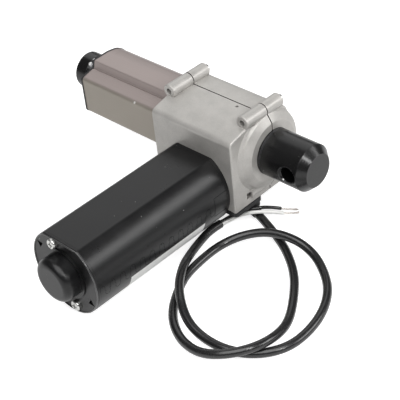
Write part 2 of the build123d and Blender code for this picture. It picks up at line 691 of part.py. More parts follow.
def motor_end_plate():
    place = (WHEEL_X, SHAFT_Z)
    plate = along_y(can_outline(), MOTOR_END_Y, CAN_REAR_Y)
    plate = fillet(plate.faces().sort_by(Axis.Y)[0].edges(), 0.9)
    boss = Circle(BOSS_D / 2) - Circle(REAR_CAP_D / 2 + SEAT_GAP)
    plate += along_y(Pos(*place) * boss, MOTOR_END_Y - BOSS_H, MOTOR_END_Y)
    plate -= round_y(CAP_BORE_D, MOTOR_END_Y - 1.0, CAN_REAR_Y + 1.0, place)
    for bolt in BOLT_PLACES:
        plate -= round_y(BOLT_D, MOTOR_END_Y - 1.0, CAN_REAR_Y + 1.0, bolt)
    for angle in VENT_ANGLES:
        a = math.radians(angle)
        vent = Pos(WHEEL_X + VENT_RADIUS * math.cos(a), SHAFT_Z + VENT_RADIUS * math.sin(a))
        vent *= Rot(0, 0, angle) * RegularPolygon(VENT_SIZE, 3)
        plate -= along_y(vent, MOTOR_END_Y - 1.0, CAN_REAR_Y + 1.0)
    return plate


def motor_rear_cap():
    place = (WHEEL_X, SHAFT_Z)
    cap = round_y(REAR_CAP_D, CAP_Y, MOTOR_END_Y, place)
    cap = fillet(cap.faces().sort_by(Axis.Y)[0].edges(), REAR_CAP_ROUND)
    return cap - round_y(CAP_BORE_D, CAP_Y + 3.0, MOTOR_END_Y + 1.0, place)


def motor_bolts():
    bolts = []
    for place in BOLT_PLACES:
        shank = round_y(BOLT_D, MOTOR_END_Y, PLATE_Y, place)
        head = round_y(BOLT_HEAD_D, MOTOR_END_Y - BOLT_HEAD_H, MOTOR_END_Y, place)
        head = fillet(head.faces().sort_by(Axis.Y)[0].edges(), 1.3)
        slot = Pos(*place) * (Rectangle(4.6, 0.9) + Rectangle(0.9, 4.6))
        recess = along_y(slot, MOTOR_END_Y - BOLT_HEAD_H - 1.0, MOTOR_END_Y - BOLT_HEAD_H + 1.3)
        bolts.append(shank + head - recess)
    return bolts


def motor_mount_screws():
    """The two screws that hold the motor's front plate to the gearbox, put in at the parting."""
    screws = []
    seat = -MOUNT_HEAD_INSET - MOUNT_HEAD_H
    for place in MOUNT_SCREW_PLACES:
        shank = round_y(BOLT_D, CAN_FRONT_Y, seat, place)
        head = round_y(MOUNT_HEAD_D, seat, -MOUNT_HEAD_INSET, place)
        screws.append(shank + chamfer(head.faces().sort_by(Axis.Y)[-1].edges(), 0.6))
    return screws


def magnets():
    """Two ferrite arcs against the can's round sides."""
    ring = Circle(CAN_D / 2 - CAN_WALL - SEAT_GAP) - Circle(MAGNET_IN_D / 2)
    reach = CAN_D
    half = math.radians(MAGNET_ARC / 2)
    wedge = Polygon((0, 0), (reach * math.cos(half), -reach * math.sin(half)),
                    (reach * math.cos(half), reach * math.sin(half)), align=None)
    middle = (STACK_FRONT_Y + STACK_REAR_Y) / 2
    pair = []
    for turn in (0, 180):
        arc = ring & (Rot(0, 0, turn) * wedge)
        pair.append(along_y(Pos(WHEEL_X, SHAFT_Z) * arc, middle - MAGNET_L / 2, middle + MAGNET_L / 2))
    return pair


def armature_shaft():
    place = (WHEEL_X, SHAFT_Z)
    end = WORM_L / 2 + 1.5 + WORM_BUSH_L
    return round_y(SHAFT_D, CAP_Y + CAP_BUSH_SEAT, end, place)


def stack_slots(inset=0.0):
    face = Pos(STACK_D / 2 - SLOT_DEPTH / 2, 0) * Rectangle(SLOT_DEPTH - inset, SLOT_W - 2 * inset)
    slots = face
    for i in range(1, STACK_SLOTS):
        slots += Rot(0, 0, 360.0 * i / STACK_SLOTS) * face
    return slots


def lamination_stack():
    mouth = Circle(STACK_D / 2) - Circle(STACK_D / 2 - SLOT_DEPTH)
    face = Circle(STACK_D / 2) - (stack_slots() & mouth) - Circle(SHAFT_D / 2)
    return along_y(Pos(WHEEL_X, SHAFT_Z) * face, STACK_REAR_Y, STACK_FRONT_Y)


def armature_windings():
    """Copper in the slots, joined by the end turns at both sides of the stack."""
    place = (WHEEL_X, SHAFT_Z)
    outer = STACK_D / 2 - 1.2
    coils = along_y(Pos(*place) * (stack_slots(0.2) & Circle(outer)), STACK_REAR_Y, STACK_FRONT_Y)
    for start, end in ((STACK_REAR_Y - WINDING_OVERHANG, STACK_REAR_Y), (STACK_FRONT_Y, STACK_FRONT_Y + WINDING_OVERHANG)):
        turns = round_y(2 * outer, start, end, place)
        turns = fillet(turns.faces().filter_by(Axis.Y).edges(), 3.0)
        coils += turns
    return coils - round_y(SHAFT_D + 2 * SEAT_GAP, STACK_REAR_Y - 20, STACK_FRONT_Y + 20, place)


def commutator():
    place = (WHEEL_X, SHAFT_Z)
    face = Circle(COMMUTATOR_D / 2) - Circle(SHAFT_D / 2)
    for i in range(COMMUTATOR_BARS):
        face -= Rot(0, 0, 360.0 * i / COMMUTATOR_BARS) * (Pos(COMMUTATOR_D / 2, 0) * Rectangle(2.0, 0.5))
    return along_y(Pos(*place) * face, COMMUTATOR_Y - COMMUTATOR_L, COMMUTATOR_Y)


def brush_gear():
    """The holder plate with its two brush boxes, and the carbon brushes in them."""
    place = (WHEEL_X, SHAFT_Z)
    length, depth, height = BRUSH_SIZE
    middle = COMMUTATOR_Y - COMMUTATOR_L / 2
    plate_y = COMMUTATOR_Y - COMMUTATOR_L - 2.0
    holder = along_y(can_outline(CAN_WALL + SEAT_GAP), plate_y - HOLDER_T, plate_y)
    holder -= round_y(COMMUTATOR_D + 3.0, plate_y - HOLDER_T - 1.0, plate_y + 1.0, place)
    for bolt in BOLT_PLACES:
        holder -= round_y(BOLT_D + 0.6, plate_y - HOLDER_T - 1.0, plate_y + 1.0, bolt)
    brushes = []
    for side in (-1, 1):
        x = WHEEL_X + side * (COMMUTATOR_D / 2 + BRUSH_GAP + length / 2)
        box_height = plate_y - 0.01
        shell = Pos(x + side * 1.0, (middle + depth / 2 + 1.2 + box_height) / 2, SHAFT_Z)
        holder += shell * Box(length, middle + depth / 2 + 1.2 - box_height, height + 2.4)
        holder -= Pos(x, middle, SHAFT_Z) * Box(4 * length, depth + 0.2, height + 0.2)
        brushes.append(Pos(x, middle, SHAFT_Z) * Box(length, depth, height))
    clear = round_y(COMMUTATOR_D + 2.0, plate_y - HOLDER_T - 1.0, COMMUTATOR_Y + 2.0, place)
    return holder - clear, brushes


def bush_y(bore, outside, start, end):
    place = (WHEEL_X, SHAFT_Z)
    return round_y(outside, start, end, place) - round_y(bore, start - 1, end + 1, place)


def cover_screw_places():
    left = CASE_LEFT + COVER_LEFT_INSET + COVER_SCREW_INSET
    right = CASE_RIGHT - COVER_SCREW_INSET
    front = -CASE_FRONT + COVER_FRONT_GAP + COVER_SCREW_INSET
    rear = COVER_REAR_Y - COVER_SCREW_INSET
    return [(left, front), (left, rear), (right, front)]


def wiring_cover():
    """The cover under the gearbox: a flange along the casting and the box that the part lies on."""
    length = CASE_L - COVER_LEFT_INSET
    depth = COVER_REAR_Y + CASE_FRONT - COVER_FRONT_GAP
    centre = (CASE_RIGHT - length / 2, COVER_REAR_Y - depth / 2)
    cover = along_z(Pos(*centre) * RectangleRounded(length, depth, COVER_ROUND), COVER_Z, -CASE_BOTTOM)
    box_left = centre[0] - length / 2 + 2 * COVER_SCREW_INSET
    box_centre = (box_left + BOX_L / 2, centre[1])
    box_depth = depth - 2 * BOX_INSET
    box = along_z(Pos(*box_centre) * RectangleRounded(BOX_L, box_depth, COVER_ROUND), FLOOR_Z, COVER_Z)
    cover += chamfer(box.faces().sort_by(Axis.Z)[0].edges(), 0.8)
    room = RectangleRounded(BOX_L - 2 * COVER_WALL, box_depth - 2 * COVER_WALL, 1.0)
    cover -= along_z(Pos(*box_centre) * room, FLOOR_Z + COVER_WALL, -CASE_BOTTOM + 1)
    for place in cover_screw_places():
        cover -= round_z(COVER_SCREW_D, COVER_Z - 1, -CASE_BOTTOM + 1, place)
    return cover


def cover_screws():
    screws = []
    for place in cover_screw_places():
        shank = round_z(COVER_SCREW_D, COVER_Z, -CASE_BOTTOM + COVER_SCREW_GRIP, place)
        head = round_z(COVER_SCREW_HEAD_D, COVER_Z - COVER_SCREW_HEAD_H, COVER_Z, place)
        screws.append(shank + fillet(head.faces().sort_by(Axis.Z)[0].edges(), 0.8))
    return screws


def relief_heading():
    angle = math.radians(RELIEF_HEADING)
    return math.cos(angle), math.sin(angle)


def strain_relief():
    """The ribbed elbow that turns the cable from the cover out along the floor."""
    x, y = RELIEF_PLACE
    heading = relief_heading()
    centre_z = COVER_Z - RELIEF_DROP
    body = round_z(RELIEF_D, centre_z, COVER_Z, RELIEF_PLACE)
    body += Pos(x, y, centre_z) * Sphere(RELIEF_D / 2)
    rib_z = COVER_Z
    while rib_z - RELIEF_RIB_H > centre_z + 2.0:
        body += round_z(RELIEF_RIB_D, rib_z - RELIEF_RIB_H, rib_z, RELIEF_PLACE)
        rib_z -= RELIEF_RIB_PITCH
    nose = Plane(origin=(x, y, centre_z), z_dir=(heading[0], heading[1], 0))
    taper = loft([nose * Circle(RELIEF_D / 2), nose.offset(RELIEF_REACH) * Circle(RELIEF_TIP_D / 2)])
    return body + taper


def cable_route():
    """The jacket's route, from the strain relief along the floor in two loose turns."""
    x, y = RELIEF_PLACE
    heading = relief_heading()
    start = (x + RELIEF_REACH * heading[0], y + RELIEF_REACH * heading[1], COVER_Z - RELIEF_DROP)
    onward = (start[0] + FIRST_RUN * heading[0], start[1] + FIRST_RUN * heading[1], start[2])
    return [start, onward] + [(px, py, CABLE_Z + height) for px, py, height in CABLE_TURNS]


def core_routes():
    """The black and the white core, from the jacket's end over the cable and down to the floor."""
    low = FLOOR_Z + CORE_D / 2
    route = cable_route()
    end = Vector(*route[-1])
    onward = (end - Vector(*route[-2])).normalized()
    side = onward.cross(Vector(0, 0, 1)) * CORE_SPREAD
    routes = []
    for start, turns in ((end - side, BLACK_TURNS), (end + side, WHITE_TURNS)):
        points = [start, start + onward * CORE_RUN] + [Vector(px, py, low + height) for px, py, height in turns]
        routes.append([tuple(point) for point in points])
    return routes


def strand_routes():
    """The bare copper beyond each core's cut end."""
    low = FLOOR_Z + STRAND_D / 2
    routes = []
    for core, tip in zip(core_routes(), STRAND_TIPS):
        end = Vector(*core[-1])
        onward = (end - Vector(*core[-2])).normalized()
        routes.append([tuple(end), tuple(end + onward * STRAND_RUN), (tip[0], tip[1], low)])
    return routes


def tube_along(points, diameter, name):
    """A round tube along straight runs joined by tangent arcs as large as the runs allow."""
    vectors = [Vector(*p) for p in points]
    runs = [(b - a).length for a, b in zip(vectors, vectors[1:])]
    radii = []
    for i in range(1, len(vectors) - 1):
        turn = (vectors[i] - vectors[i - 1]).get_angle(vectors[i + 1] - vectors[i])
        radii.append(0.45 * min(runs[i - 1], runs[i]) / math.tan(math.radians(turn) / 2))
    path = FilletPolyline(*points, radius=radii)
    start = Plane(origin=points[0], z_dir=path % 0)
    solid = sweep(start * Circle(diameter / 2), path=path)
    expected = math.pi * diameter ** 2 / 4 * path.length
    print(f"{name}: length {path.length:.1f}, runs {min(runs):.1f} to {max(runs):.1f}, "
          f"smallest radius {min(radii):.1f}, volume {solid.volume / expected:.4f} of section times length")
    print("  radii " + " ".join(f"{r:.0f}" for r in radii))
    return solid


front_half, rear_half = gearbox_halves()
save("gearbox_front_half", front_half)
save("gearbox_rear_half", rear_half)
save("gearbox_screws", *gearbox_screws())
save("rear_connector", rear_connector())
bearing_outer, bearing_inner, bearing_balls = screw_bearing()
save("screw_bearing_outer_ring", bearing_outer)
save("screw_bearing_inner_ring", bearing_inner)
save("screw_bearing_balls", *bearing_balls)
save("screw_bush", along_x(Circle(BUSH_OD / 2) - Circle(SCREW_D / 2 + RUNNING_GAP), BUSH_LEFT, BUSH_RIGHT))
save("lead_screw", lead_screw())
save("lock_nut", lock_nut())
save("worm_wheel", worm_wheel())
save("worm", worm())
save("outer_tube", outer_tube())
save("tube_end_plate", tube_end_plate())
save("tube_end_screws", *tube_end_screws())
save("guide_bush", guide_bush())
save("rod_wiper", rod_wiper())
save("inner_tube", inner_tube())
save("drive_nut", drive_nut())
save("nut_pins", *nut_pin_places())
save("front_connector", front_connector())
switch_strip, (extend_switch, retract_switch) = switch_parts()
save("switch_strip", switch_strip)
save("retracted_limit_switch", extend_switch)
save("extended_limit_switch", retract_switch)
save("motor_can", motor_can())
save("motor_front_plate", motor_front_plate())
save("motor_end_plate", motor_end_plate())
save("motor_rear_cap", motor_rear_cap())
save("motor_bolts", *motor_bolts())
save("motor_mount_screws", *motor_mount_screws())
right_magnet, left_magnet = magnets()
save("right_magnet", right_magnet)
save("left_magnet", left_magnet)
save("armature_shaft", armature_shaft())
save("lamination_stack", lamination_stack())
save("armature_windings", armature_windings())
save("commutator", commutator())
brush_holder, carbon_brushes = brush_gear()
save("brush_holder", brush_holder)
save("carbon_brushes", *carbon_brushes)
shaft_bore = SHAFT_D + 2 * RUNNING_GAP
save("motor_front_bush", bush_y(shaft_bore, MOTOR_BUSH_D, CAN_FRONT_Y - MOTOR_BUSH_L + FRONT_PLATE_T, PLATE_Y))
rear_bush_y = CAP_Y + CAP_BUSH_SEAT
save("motor_rear_bush", bush_y(shaft_bore, CAP_BORE_D - 2 * SEAT_GAP, rear_bush_y, rear_bush_y + MOTOR_BUSH_L))
worm_bush_y = WORM_L / 2 + 1.5
save("worm_end_bush", bush_y(shaft_bore, WORM_BUSH_D, worm_bush_y, worm_bush_y + WORM_BUSH_L))
save("wiring_cover", wiring_cover())
save("cover_screws", *cover_screws())
save("strain_relief", strain_relief())
save("cable_jacket", tube_along(cable_route(), CABLE_D, "cable jacket"))
black_route, white_route = core_routes()
save("black_core", tube_along(black_route, CORE_D, "black core"))
save("white_core", tube_along(white_route, CORE_D, "white core"))
save("copper_ends", *[tube_along(route, STRAND_D, "copper end") for route in strand_routes()])
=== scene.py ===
# %% [markdown]
# # Electric linear actuator
# A motor turns a worm, the worm turns a wheel on a lead screw, and the screw pushes a rod out of
# an extruded tube. The solid parts come from CAD as a fixed frame, in metres, with the origin at
# the rear pin hole, +X out of the rear connector and +Z up. This lesson gives them their finishes
# and adds what a solid model leaves out: the cable, the threads, the seams and the small marks.

# %% Load the frame
import json
import math

import bmesh
import bpy
from mathutils import Matrix, Vector


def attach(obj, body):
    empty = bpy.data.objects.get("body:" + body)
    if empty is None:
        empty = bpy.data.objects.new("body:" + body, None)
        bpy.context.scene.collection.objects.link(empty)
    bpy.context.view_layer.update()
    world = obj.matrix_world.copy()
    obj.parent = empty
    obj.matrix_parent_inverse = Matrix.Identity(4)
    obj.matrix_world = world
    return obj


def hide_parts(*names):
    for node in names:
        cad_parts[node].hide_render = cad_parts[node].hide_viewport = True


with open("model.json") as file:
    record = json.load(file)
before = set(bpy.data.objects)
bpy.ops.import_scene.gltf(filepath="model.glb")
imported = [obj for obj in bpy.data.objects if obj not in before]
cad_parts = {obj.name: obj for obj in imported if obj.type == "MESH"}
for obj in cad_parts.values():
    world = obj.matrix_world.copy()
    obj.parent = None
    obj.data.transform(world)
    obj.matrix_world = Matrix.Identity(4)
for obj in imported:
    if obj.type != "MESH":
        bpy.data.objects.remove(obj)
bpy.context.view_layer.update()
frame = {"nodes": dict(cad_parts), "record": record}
nodes = frame["nodes"]
scene = bpy.context.scene

# %% [markdown]
# ## The camera
# The picture is taken from the front right, well above the part, with a long lens, and the camera
# is rolled a little, so that the tube runs down to the left. Three angles say this best. The
# direction back towards the camera comes from azimuth and elevation, and the roll turns the
# camera's right-hand direction about it.

# %% Camera
azimuth = math.radians(47.236)
elevation = math.radians(37.096)
roll = math.radians(-6.44)

back = Vector((
    math.sin(azimuth) * math.cos(elevation),
    -math.cos(azimuth) * math.cos(elevation),
    math.sin(elevation),
))
level = Vector((math.cos(azimuth), math.sin(azimuth), 0))
right = math.cos(roll) * level + math.sin(roll) * back.cross(level)
up = back.cross(right)
camera_place = Vector((0.43732, -0.50327, 0.48035))

camera_data = bpy.data.cameras.new("camera")
camera_data.sensor_width = 36.0
camera_data.lens = 107.72
camera = bpy.data.objects.new("camera", camera_data)
scene.collection.objects.link(camera)
camera.matrix_world = Matrix((
    (right.x, up.x, back.x, camera_place.x),
    (right.y, up.y, back.y, camera_place.y),
    (right.z, up.z, back.z, camera_place.z),
    (0, 0, 0, 1),
))
scene.camera = camera
print("camera looks along", [round(-v, 3) for v in back])

# %% [markdown]
# ## Small helpers
# New pieces are meshes or round lines, and each is tied to the body that it moves with. Sizes are
# read in millimetres and built in metres, because that is how a drawing is dimensioned and how
# Blender measures.

# %% Main sizes and mesh helpers
MM = 0.001
SHAFT_X = -67 * MM
SHAFT_Z = -21.5 * MM
FLOOR_Z = -52.5 * MM
CAN_RADIUS = 31 * MM
CAN_FLAT = 26.2 * MM
CABLE_D = 6.2 * MM
CORE_D = 2.6 * MM
made = []


def metres(point):
    """A point in millimetres, as one in metres."""
    return tuple(value * MM for value in point)


def object_from(bm, name):
    """Turn a finished bmesh into an object that sits at the origin."""
    mesh = bpy.data.meshes.new(name)
    bm.to_mesh(mesh)
    bm.free()
    piece = bpy.data.objects.new(name, mesh)
    scene.collection.objects.link(piece)
    return piece


def shade_smooth(piece, angle=math.radians(35)):
    """Smooth shading that keeps edges sharper than the angle."""
    for polygon in piece.data.polygons:
        polygon.use_smooth = True
    bm = bmesh.new()
    bm.from_mesh(piece.data)
    for edge in bm.edges:
        if len(edge.link_faces) == 2 and edge.calc_face_angle(0) > angle:
            edge.smooth = False
    bm.to_mesh(piece.data)
    bm.free()


def fit(piece, body, slot, *replaced, finish=None):
    """Tie a piece to its body, its slot and the solids that it stands for."""
    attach(piece, body)
    if replaced:
        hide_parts(*replaced)
    made.append((piece, finish or slot))
    print(piece.name, "rides on", body)


print("the motor's axis runs along Y at", round(SHAFT_X, 4), round(SHAFT_Z, 4))

# %% [markdown]
# Cords, seams and rims are all round lines, so one helper draws them. A line's middle is a spline,
# and a NURBS spline of order 3 only leans towards its control points, which rounds every corner.
# The curve's bevel gives the thickness: the bevel is one metre deep and each point's radius scales
# it, because Blender also adds the radius to the curve's box, and a radius in real metres keeps
# that box true.

# %% A helper for round lines
def round_lines(name, strokes, kind="NURBS", fineness=3, closed=False, resolution=12):
    """Round lines as one piece; each stroke is a list of (point in metres, radius) pairs."""
    data = bpy.data.curves.new(name, "CURVE")
    data.dimensions = "3D"
    data.bevel_depth = 1.0
    data.bevel_resolution = fineness
    data.use_fill_caps = True
    data.resolution_u = resolution
    for stroke in strokes:
        spline = data.splines.new(kind)
        spline.points.add(len(stroke) - 1)
        for point, (spot, radius) in zip(spline.points, stroke):
            point.co = (*spot, 1)
            point.radius = radius
        spline.order_u = 3
        spline.use_endpoint_u = True
        spline.use_cyclic_u = closed
    piece = bpy.data.objects.new(name, data)
    scene.collection.objects.link(piece)
    return piece


def cord_along(name, points_mm, diameter):
    """A cord along control points in millimetres."""
    stroke = [(metres(point), diameter / 2) for point in points_mm]
    return round_lines(name, [stroke], fineness=6, resolution=10)


# %% [markdown]
# ## The cable
# A soft two-core cable leaves the strain relief, lies on the table in two loose turns and ends
# stripped, beside the gearbox. Its middle is half a cable above the table, and where the cable
# crosses itself, the points rise in a low hump.

# %% The jacket
low = -49.4
climb = low + 3.0
over = low + 7.3
relief_exit = (-31.387, -15.621, -47.9)
jacket_points = [
    relief_exit, (-19.227, -20.216, -47.9),
    (-5.7, -25.1, low), (12.2, -34.4, low), (31.5, -49.5, low), (45.7, -67.6, low),
    (56.6, -85.1, low), (62.0, -100.8, climb), (62.6, -120.3, over), (52.9, -137.3, over),
    (35.6, -145.3, climb), (17.6, -143.1, low), (3.0, -136.6, low), (-9.2, -126.2, low),
    (-19.1, -111.6, low), (-27.0, -95.0, low), (-29.6, -76.6, low), (-30.2, -57.9, low),
    (-22.7, -42.4, climb), (-7.2, -31.8, over), (12.7, -26.8, over), (29.3, -26.8, climb),
    (45.0, -34.9, low), (59.2, -48.0, low), (69.1, -66.1, low), (73.5, -86.3, low),
    (72.3, -105.4, low), (62.2, -120.8, low), (46.1, -130.3, low), (26.5, -132.2, low),
    (9.7, -130.1, climb), (-4.9, -121.7, over), (-19.0, -109.0, over), (-28.9, -94.4, over),
    (-37.1, -79.6, climb), (-43.8, -63.7, low), (-47.1, -48.3, low), (-45.9, -38.9, low),
]
jacket = cord_along("cable", jacket_points, CABLE_D)
fit(jacket, "housing", "cable_rubber", "cable_jacket")

# %% [markdown]
# The jacket is cut back at the end, and its two cores go on side by side, a black one and a white
# one, lying over the cable and down to the table again.

# %% The two cores
CORE_OFFSET = 1.45
CORE_STRAIGHT = 7.0
cable_end = Vector(jacket_points[-1])
onward = (cable_end - Vector(jacket_points[-2])).normalized()
sideways = onward.cross(Vector((0, 0, 1))) * CORE_OFFSET
core_low = (FLOOR_Z + CORE_D / 2) / MM
black_points = [
    cable_end - sideways, cable_end - sideways + onward * CORE_STRAIGHT,
    Vector((-40.6, -23.6, core_low + 6.2)), Vector((-31.8, -19.4, core_low + 9.4)),
    Vector((-26.4, -10.6, core_low + 8.6)), Vector((-21.2, -1.6, core_low + 3.8)),
]
white_points = [
    cable_end + sideways, cable_end + sideways + onward * CORE_STRAIGHT,
    Vector((-37.4, -25.4, core_low + 5.8)), Vector((-28.6, -20.8, core_low + 9.2)),
    Vector((-21.6, -13.0, core_low + 7.8)), Vector((-17.1, -3.8, core_low + 3.0)),
]
black_core = cord_along("black_core_wire", black_points, CORE_D)
white_core = cord_along("white_core_wire", white_points, CORE_D)
fit(black_core, "housing", "cable_rubber", "black_core")
fit(white_core, "housing", "white_insulation", "white_core")

# %% [markdown]
# The bare ends are fine tinned wires, twisted lightly together. Six wires stand round a seventh in
# the middle, turn a little from point to point and end at three lengths, which makes the frayed
# look of a stripped end. No point goes lower than a wire's own radius above the table.

# %% The bare copper ends
WIRE_RADIUS = 0.24 * MM
WIRES_AROUND = 6
TWIST = 1.1
SPREAD = (0.55, 0.6, 0.62)
STAGGER = 0.5


def frayed_end(name, core_points, tip):
    """Seven fine wires from the core's cut end, spreading slightly towards the tip."""
    start = core_points[-1]
    ahead = (start - core_points[-2]).normalized()
    path = [start, start + ahead * 5.5, tip]
    across = ahead.cross(Vector((0, 0, 1))).normalized()
    upward = across.cross(ahead)
    strokes = []
    for wire in range(WIRES_AROUND + 1):
        stroke = []
        for step, spot in enumerate(path):
            if wire < WIRES_AROUND:
                angle = 2 * math.pi * wire / WIRES_AROUND + step * TWIST
                spot = spot + (across * math.cos(angle) + upward * math.sin(angle)) * SPREAD[step]
            if step == len(path) - 1:
                spot = spot + ahead * (STAGGER * (wire % 3))
            spot = spot * MM
            height = max(spot.z, FLOOR_Z + WIRE_RADIUS)
            stroke.append(((spot.x, spot.y, height), WIRE_RADIUS))
        strokes.append(stroke)
    return round_lines(name, strokes, fineness=2)


black_end = frayed_end("black_copper_end", black_points, Vector((-14.6, 8.6, -51.6)))
white_end = frayed_end("white_copper_end", white_points, Vector((-11.4, 6.6, -51.6)))
for end in (black_end, white_end):
    fit(end, "housing", "tinned_copper", "copper_ends")

# %% What the cords are, in real terms
print("cable control points:", len(jacket_points))

# %% [markdown]
# ## Threads
# The solid model keeps the screw and the worm as plain rods, which is right for its mass and its
# motion. A real lead screw carries a trapezoid ridge that climbs 8 mm with each turn. A helix can
# be cut with booleans, but one spin does it faster: the ridge's small profile is turned about the
# axis many times while it moves along it. Two starts, half a turn apart, give a pitch of 4 mm.
# The worm has two starts as well, and the tapped hole in the front connector has one, as M10 has.
# A ridge begins a little under the core's surface, so that no gap shows at its foot.

# %% A turned core and a climbing ridge
def turned(bm, profile, centre, along, steps=48):
    """Spin (distance, radius) profile points once about an axis and close the doubles."""
    side = Vector((0, 0, 1))
    verts = [bm.verts.new(centre + along * (d * MM) + side * (r * MM)) for d, r in profile]
    edges = [bm.edges.new(pair) for pair in zip(verts, verts[1:])]
    bmesh.ops.spin(bm, geom=verts + edges, cent=centre, axis=along, dvec=(0, 0, 0),
                   angle=2 * math.pi, steps=steps, use_merge=True)


def ridge(bm, profile, centre, along, turns, lead, phase, steps=36):
    """Spin a ridge's profile while it climbs by the lead in every turn."""
    side = Matrix.Rotation(phase, 3, along) @ Vector((0, 0, 1))
    verts = [bm.verts.new(centre + along * (d * MM) + side * (r * MM)) for d, r in profile]
    ring = [bm.edges.new((verts[i], verts[(i + 1) % len(verts)])) for i in range(len(verts))]
    count = int(turns * steps)
    face = bm.faces.new(verts)
    bmesh.ops.spin(bm, geom=[face] + ring + verts, cent=centre, axis=along,
                   dvec=along * (lead * MM / steps), angle=2 * math.pi * turns, steps=count)


def finish_turned(bm, name):
    """Close a turned bmesh, face it outward and make it a smooth object."""
    bmesh.ops.remove_doubles(bm, verts=bm.verts, dist=1e-6)
    bmesh.ops.recalc_face_normals(bm, faces=bm.faces)
    piece = object_from(bm, name)
    shade_smooth(piece)
    return piece


TWO_STARTS = (0, math.pi)
print("two starts, half a turn apart:", TWO_STARTS)

# %% [markdown]
# The screw's profile goes from its gearbox end to its free end: a spigot for the lock nut, the
# ball bearing's seat, a collar, the wheel's seat, the bush's seat, and then the threaded length.

# %% The lead screw
screw_centre = Vector((0, 0, 0))
to_left = Vector((-1, 0, 0))
screw_profile = [
    (37.5, 0), (37.5, 5.0), (43.0, 5.0), (43.0, 6.0), (53.0, 6.0), (53.0, 9.0), (61.0, 9.0),
    (61.0, 6.0), (73.0, 6.0), (73.0, 7.0), (83.0, 7.0), (84.4, 5.6), (183.0, 5.6), (183.6, 5.0),
    (183.6, 0),
]
screw_ridge = [(84.6, 5.4), (85.3, 7.0), (86.6, 7.0), (87.3, 5.4)]
bm = bmesh.new()
turned(bm, screw_profile, screw_centre, to_left)
for start in TWO_STARTS:
    ridge(bm, screw_ridge, screw_centre, to_left, turns=11.9, lead=8.0, phase=start)
fit(finish_turned(bm, "threaded_screw"), "screw", "bearing_steel", "lead_screw")

# %% The worm
worm_centre = Vector((SHAFT_X, 0, SHAFT_Z))
to_front = Vector((0, -1, 0))
worm_profile = [(-13.0, 4.0), (-13.0, 5.1), (13.0, 5.1), (13.0, 4.0), (-13.0, 4.0)]
worm_ridge = [(-12.6, 5.0), (-12.15, 5.25), (-11.5, 5.25), (-11.05, 5.0)]
bm = bmesh.new()
turned(bm, worm_profile, worm_centre, to_front)
for start in TWO_STARTS:
    ridge(bm, worm_ridge, worm_centre, to_front, turns=3.6, lead=6.283, phase=start)
fit(finish_turned(bm, "cut_worm"), "armature", "bearing_steel", "worm")

# %% The thread in the front connector
m10_ridge = [(198.2, 4.35), (198.75, 4.08), (198.9, 4.08), (199.45, 4.35)]
bm = bmesh.new()
ridge(bm, m10_ridge, screw_centre, to_left, turns=12.2, lead=1.5, phase=0, steps=24)
fit(finish_turned(bm, "connector_thread"), "rod", "black_steel")

# %% [markdown]
# ## Marks on the motor
# The motor's can is rolled from sheet steel. Its end carries a rim, and its two edges are locked
# together like a jigsaw along the whole can, with a dovetail at the front and a punch mark in each
# tongue. These are all thin, so they are lines and dots laid on the surface. A point on the can is
# given by its angle from the top and its place along the motor, as a sheet worker would mark it.

# %% Places on the can
def on_can(angle, y, lift=0.0):
    """A point on the can's round side, by degrees from the top and millimetres along Y."""
    turn = math.radians(angle)
    reach = CAN_RADIUS + lift * MM
    return Vector((SHAFT_X + reach * math.sin(turn), y * MM, SHAFT_Z + reach * math.cos(turn)))


def d_shape(radius, flat, y, count=96):
    """Points round the motor's D-shaped outline, from one end of its flat to the other."""
    corner = math.acos(flat / radius)
    points = []
    for step in range(count + 1):
        turn = corner + (2 * math.pi - 2 * corner) * step / count
        x = SHAFT_X + radius * math.sin(turn)
        z = SHAFT_Z + radius * math.cos(turn)
        points.append(Vector((x, y, z)))
    return points


def even_stroke(points, radius):
    """A stroke of one radius all along."""
    return [(point, radius) for point in points]


# %% The rolled rim
RIM_Y = -163.0 * MM
RIM_RADIUS = 0.62 * MM
rim_stroke = even_stroke(d_shape(30.3 * MM, 25.5 * MM, RIM_Y), RIM_RADIUS)
rim = round_lines("rolled_rim", [rim_stroke], kind="POLY", closed=True)
fit(rim, "housing", "black_motor_paint", finish="rubbed_rim")

# %% The dovetail at the front
SEAM_LIFT = -0.2


def arc_on_can(start, end, y_start, y_end, steps):
    """Points from one place on the can to another, in even steps."""
    points = []
    for step in range(steps + 1):
        angle = start + (end - start) * step / steps
        y = y_start + (y_end - y_start) * step / steps
        points.append(on_can(angle, y, SEAM_LIFT))
    return points


dovetail_points = (arc_on_can(78, 78, -40.2, -52, 2) + arc_on_can(78, 107, -52, -52.2, 8)
                   + arc_on_can(107, 107, -52.2, -40.2, 2))
dovetail = round_lines("dovetail_tab", [even_stroke(dovetail_points, 0.3 * MM)], kind="POLY")
# Painted shade: a dark line where the dovetail's gap is shaded.
fit(dovetail, "housing", "black_motor_paint", finish="painted_joint_shade")

# %% [markdown]
# One tongue of the jigsaw is wider at its head than at its neck, which is what locks it. Twelve
# corner points, as (angle, step along the motor), describe a tongue and the socket beside it, and
# a smooth curve through the repeats rounds them as the punch does.

# %% The jigsaw seam
TONGUE_PITCH = 9.05
TONGUES = 12
SEAM_REAR_Y = -161
tongue = [(95, 0.6), (90, -0.1), (86.6, 1.2), (86.6, 3.3), (90, 4.6), (95, 3.9),
          (95, 5.1), (100, 4.4), (103.4, 5.7), (103.4, 7.8), (100, 9.1), (95, 8.4)]
jigsaw_points, heads = [], []
for repeat in range(TONGUES):
    start = SEAM_REAR_Y + repeat * TONGUE_PITCH
    jigsaw_points += [on_can(angle, start + step, SEAM_LIFT) for angle, step in tongue]
    heads.append((88.4, start + 2.2))
jigsaw_points.append(on_can(95, -52.3, SEAM_LIFT))
jigsaw = round_lines("jigsaw_seam", [even_stroke(jigsaw_points, 0.27 * MM)])
# Painted shade: a dark line where the seam's gap is shaded.
fit(jigsaw, "housing", "black_motor_paint", finish="painted_joint_shade")
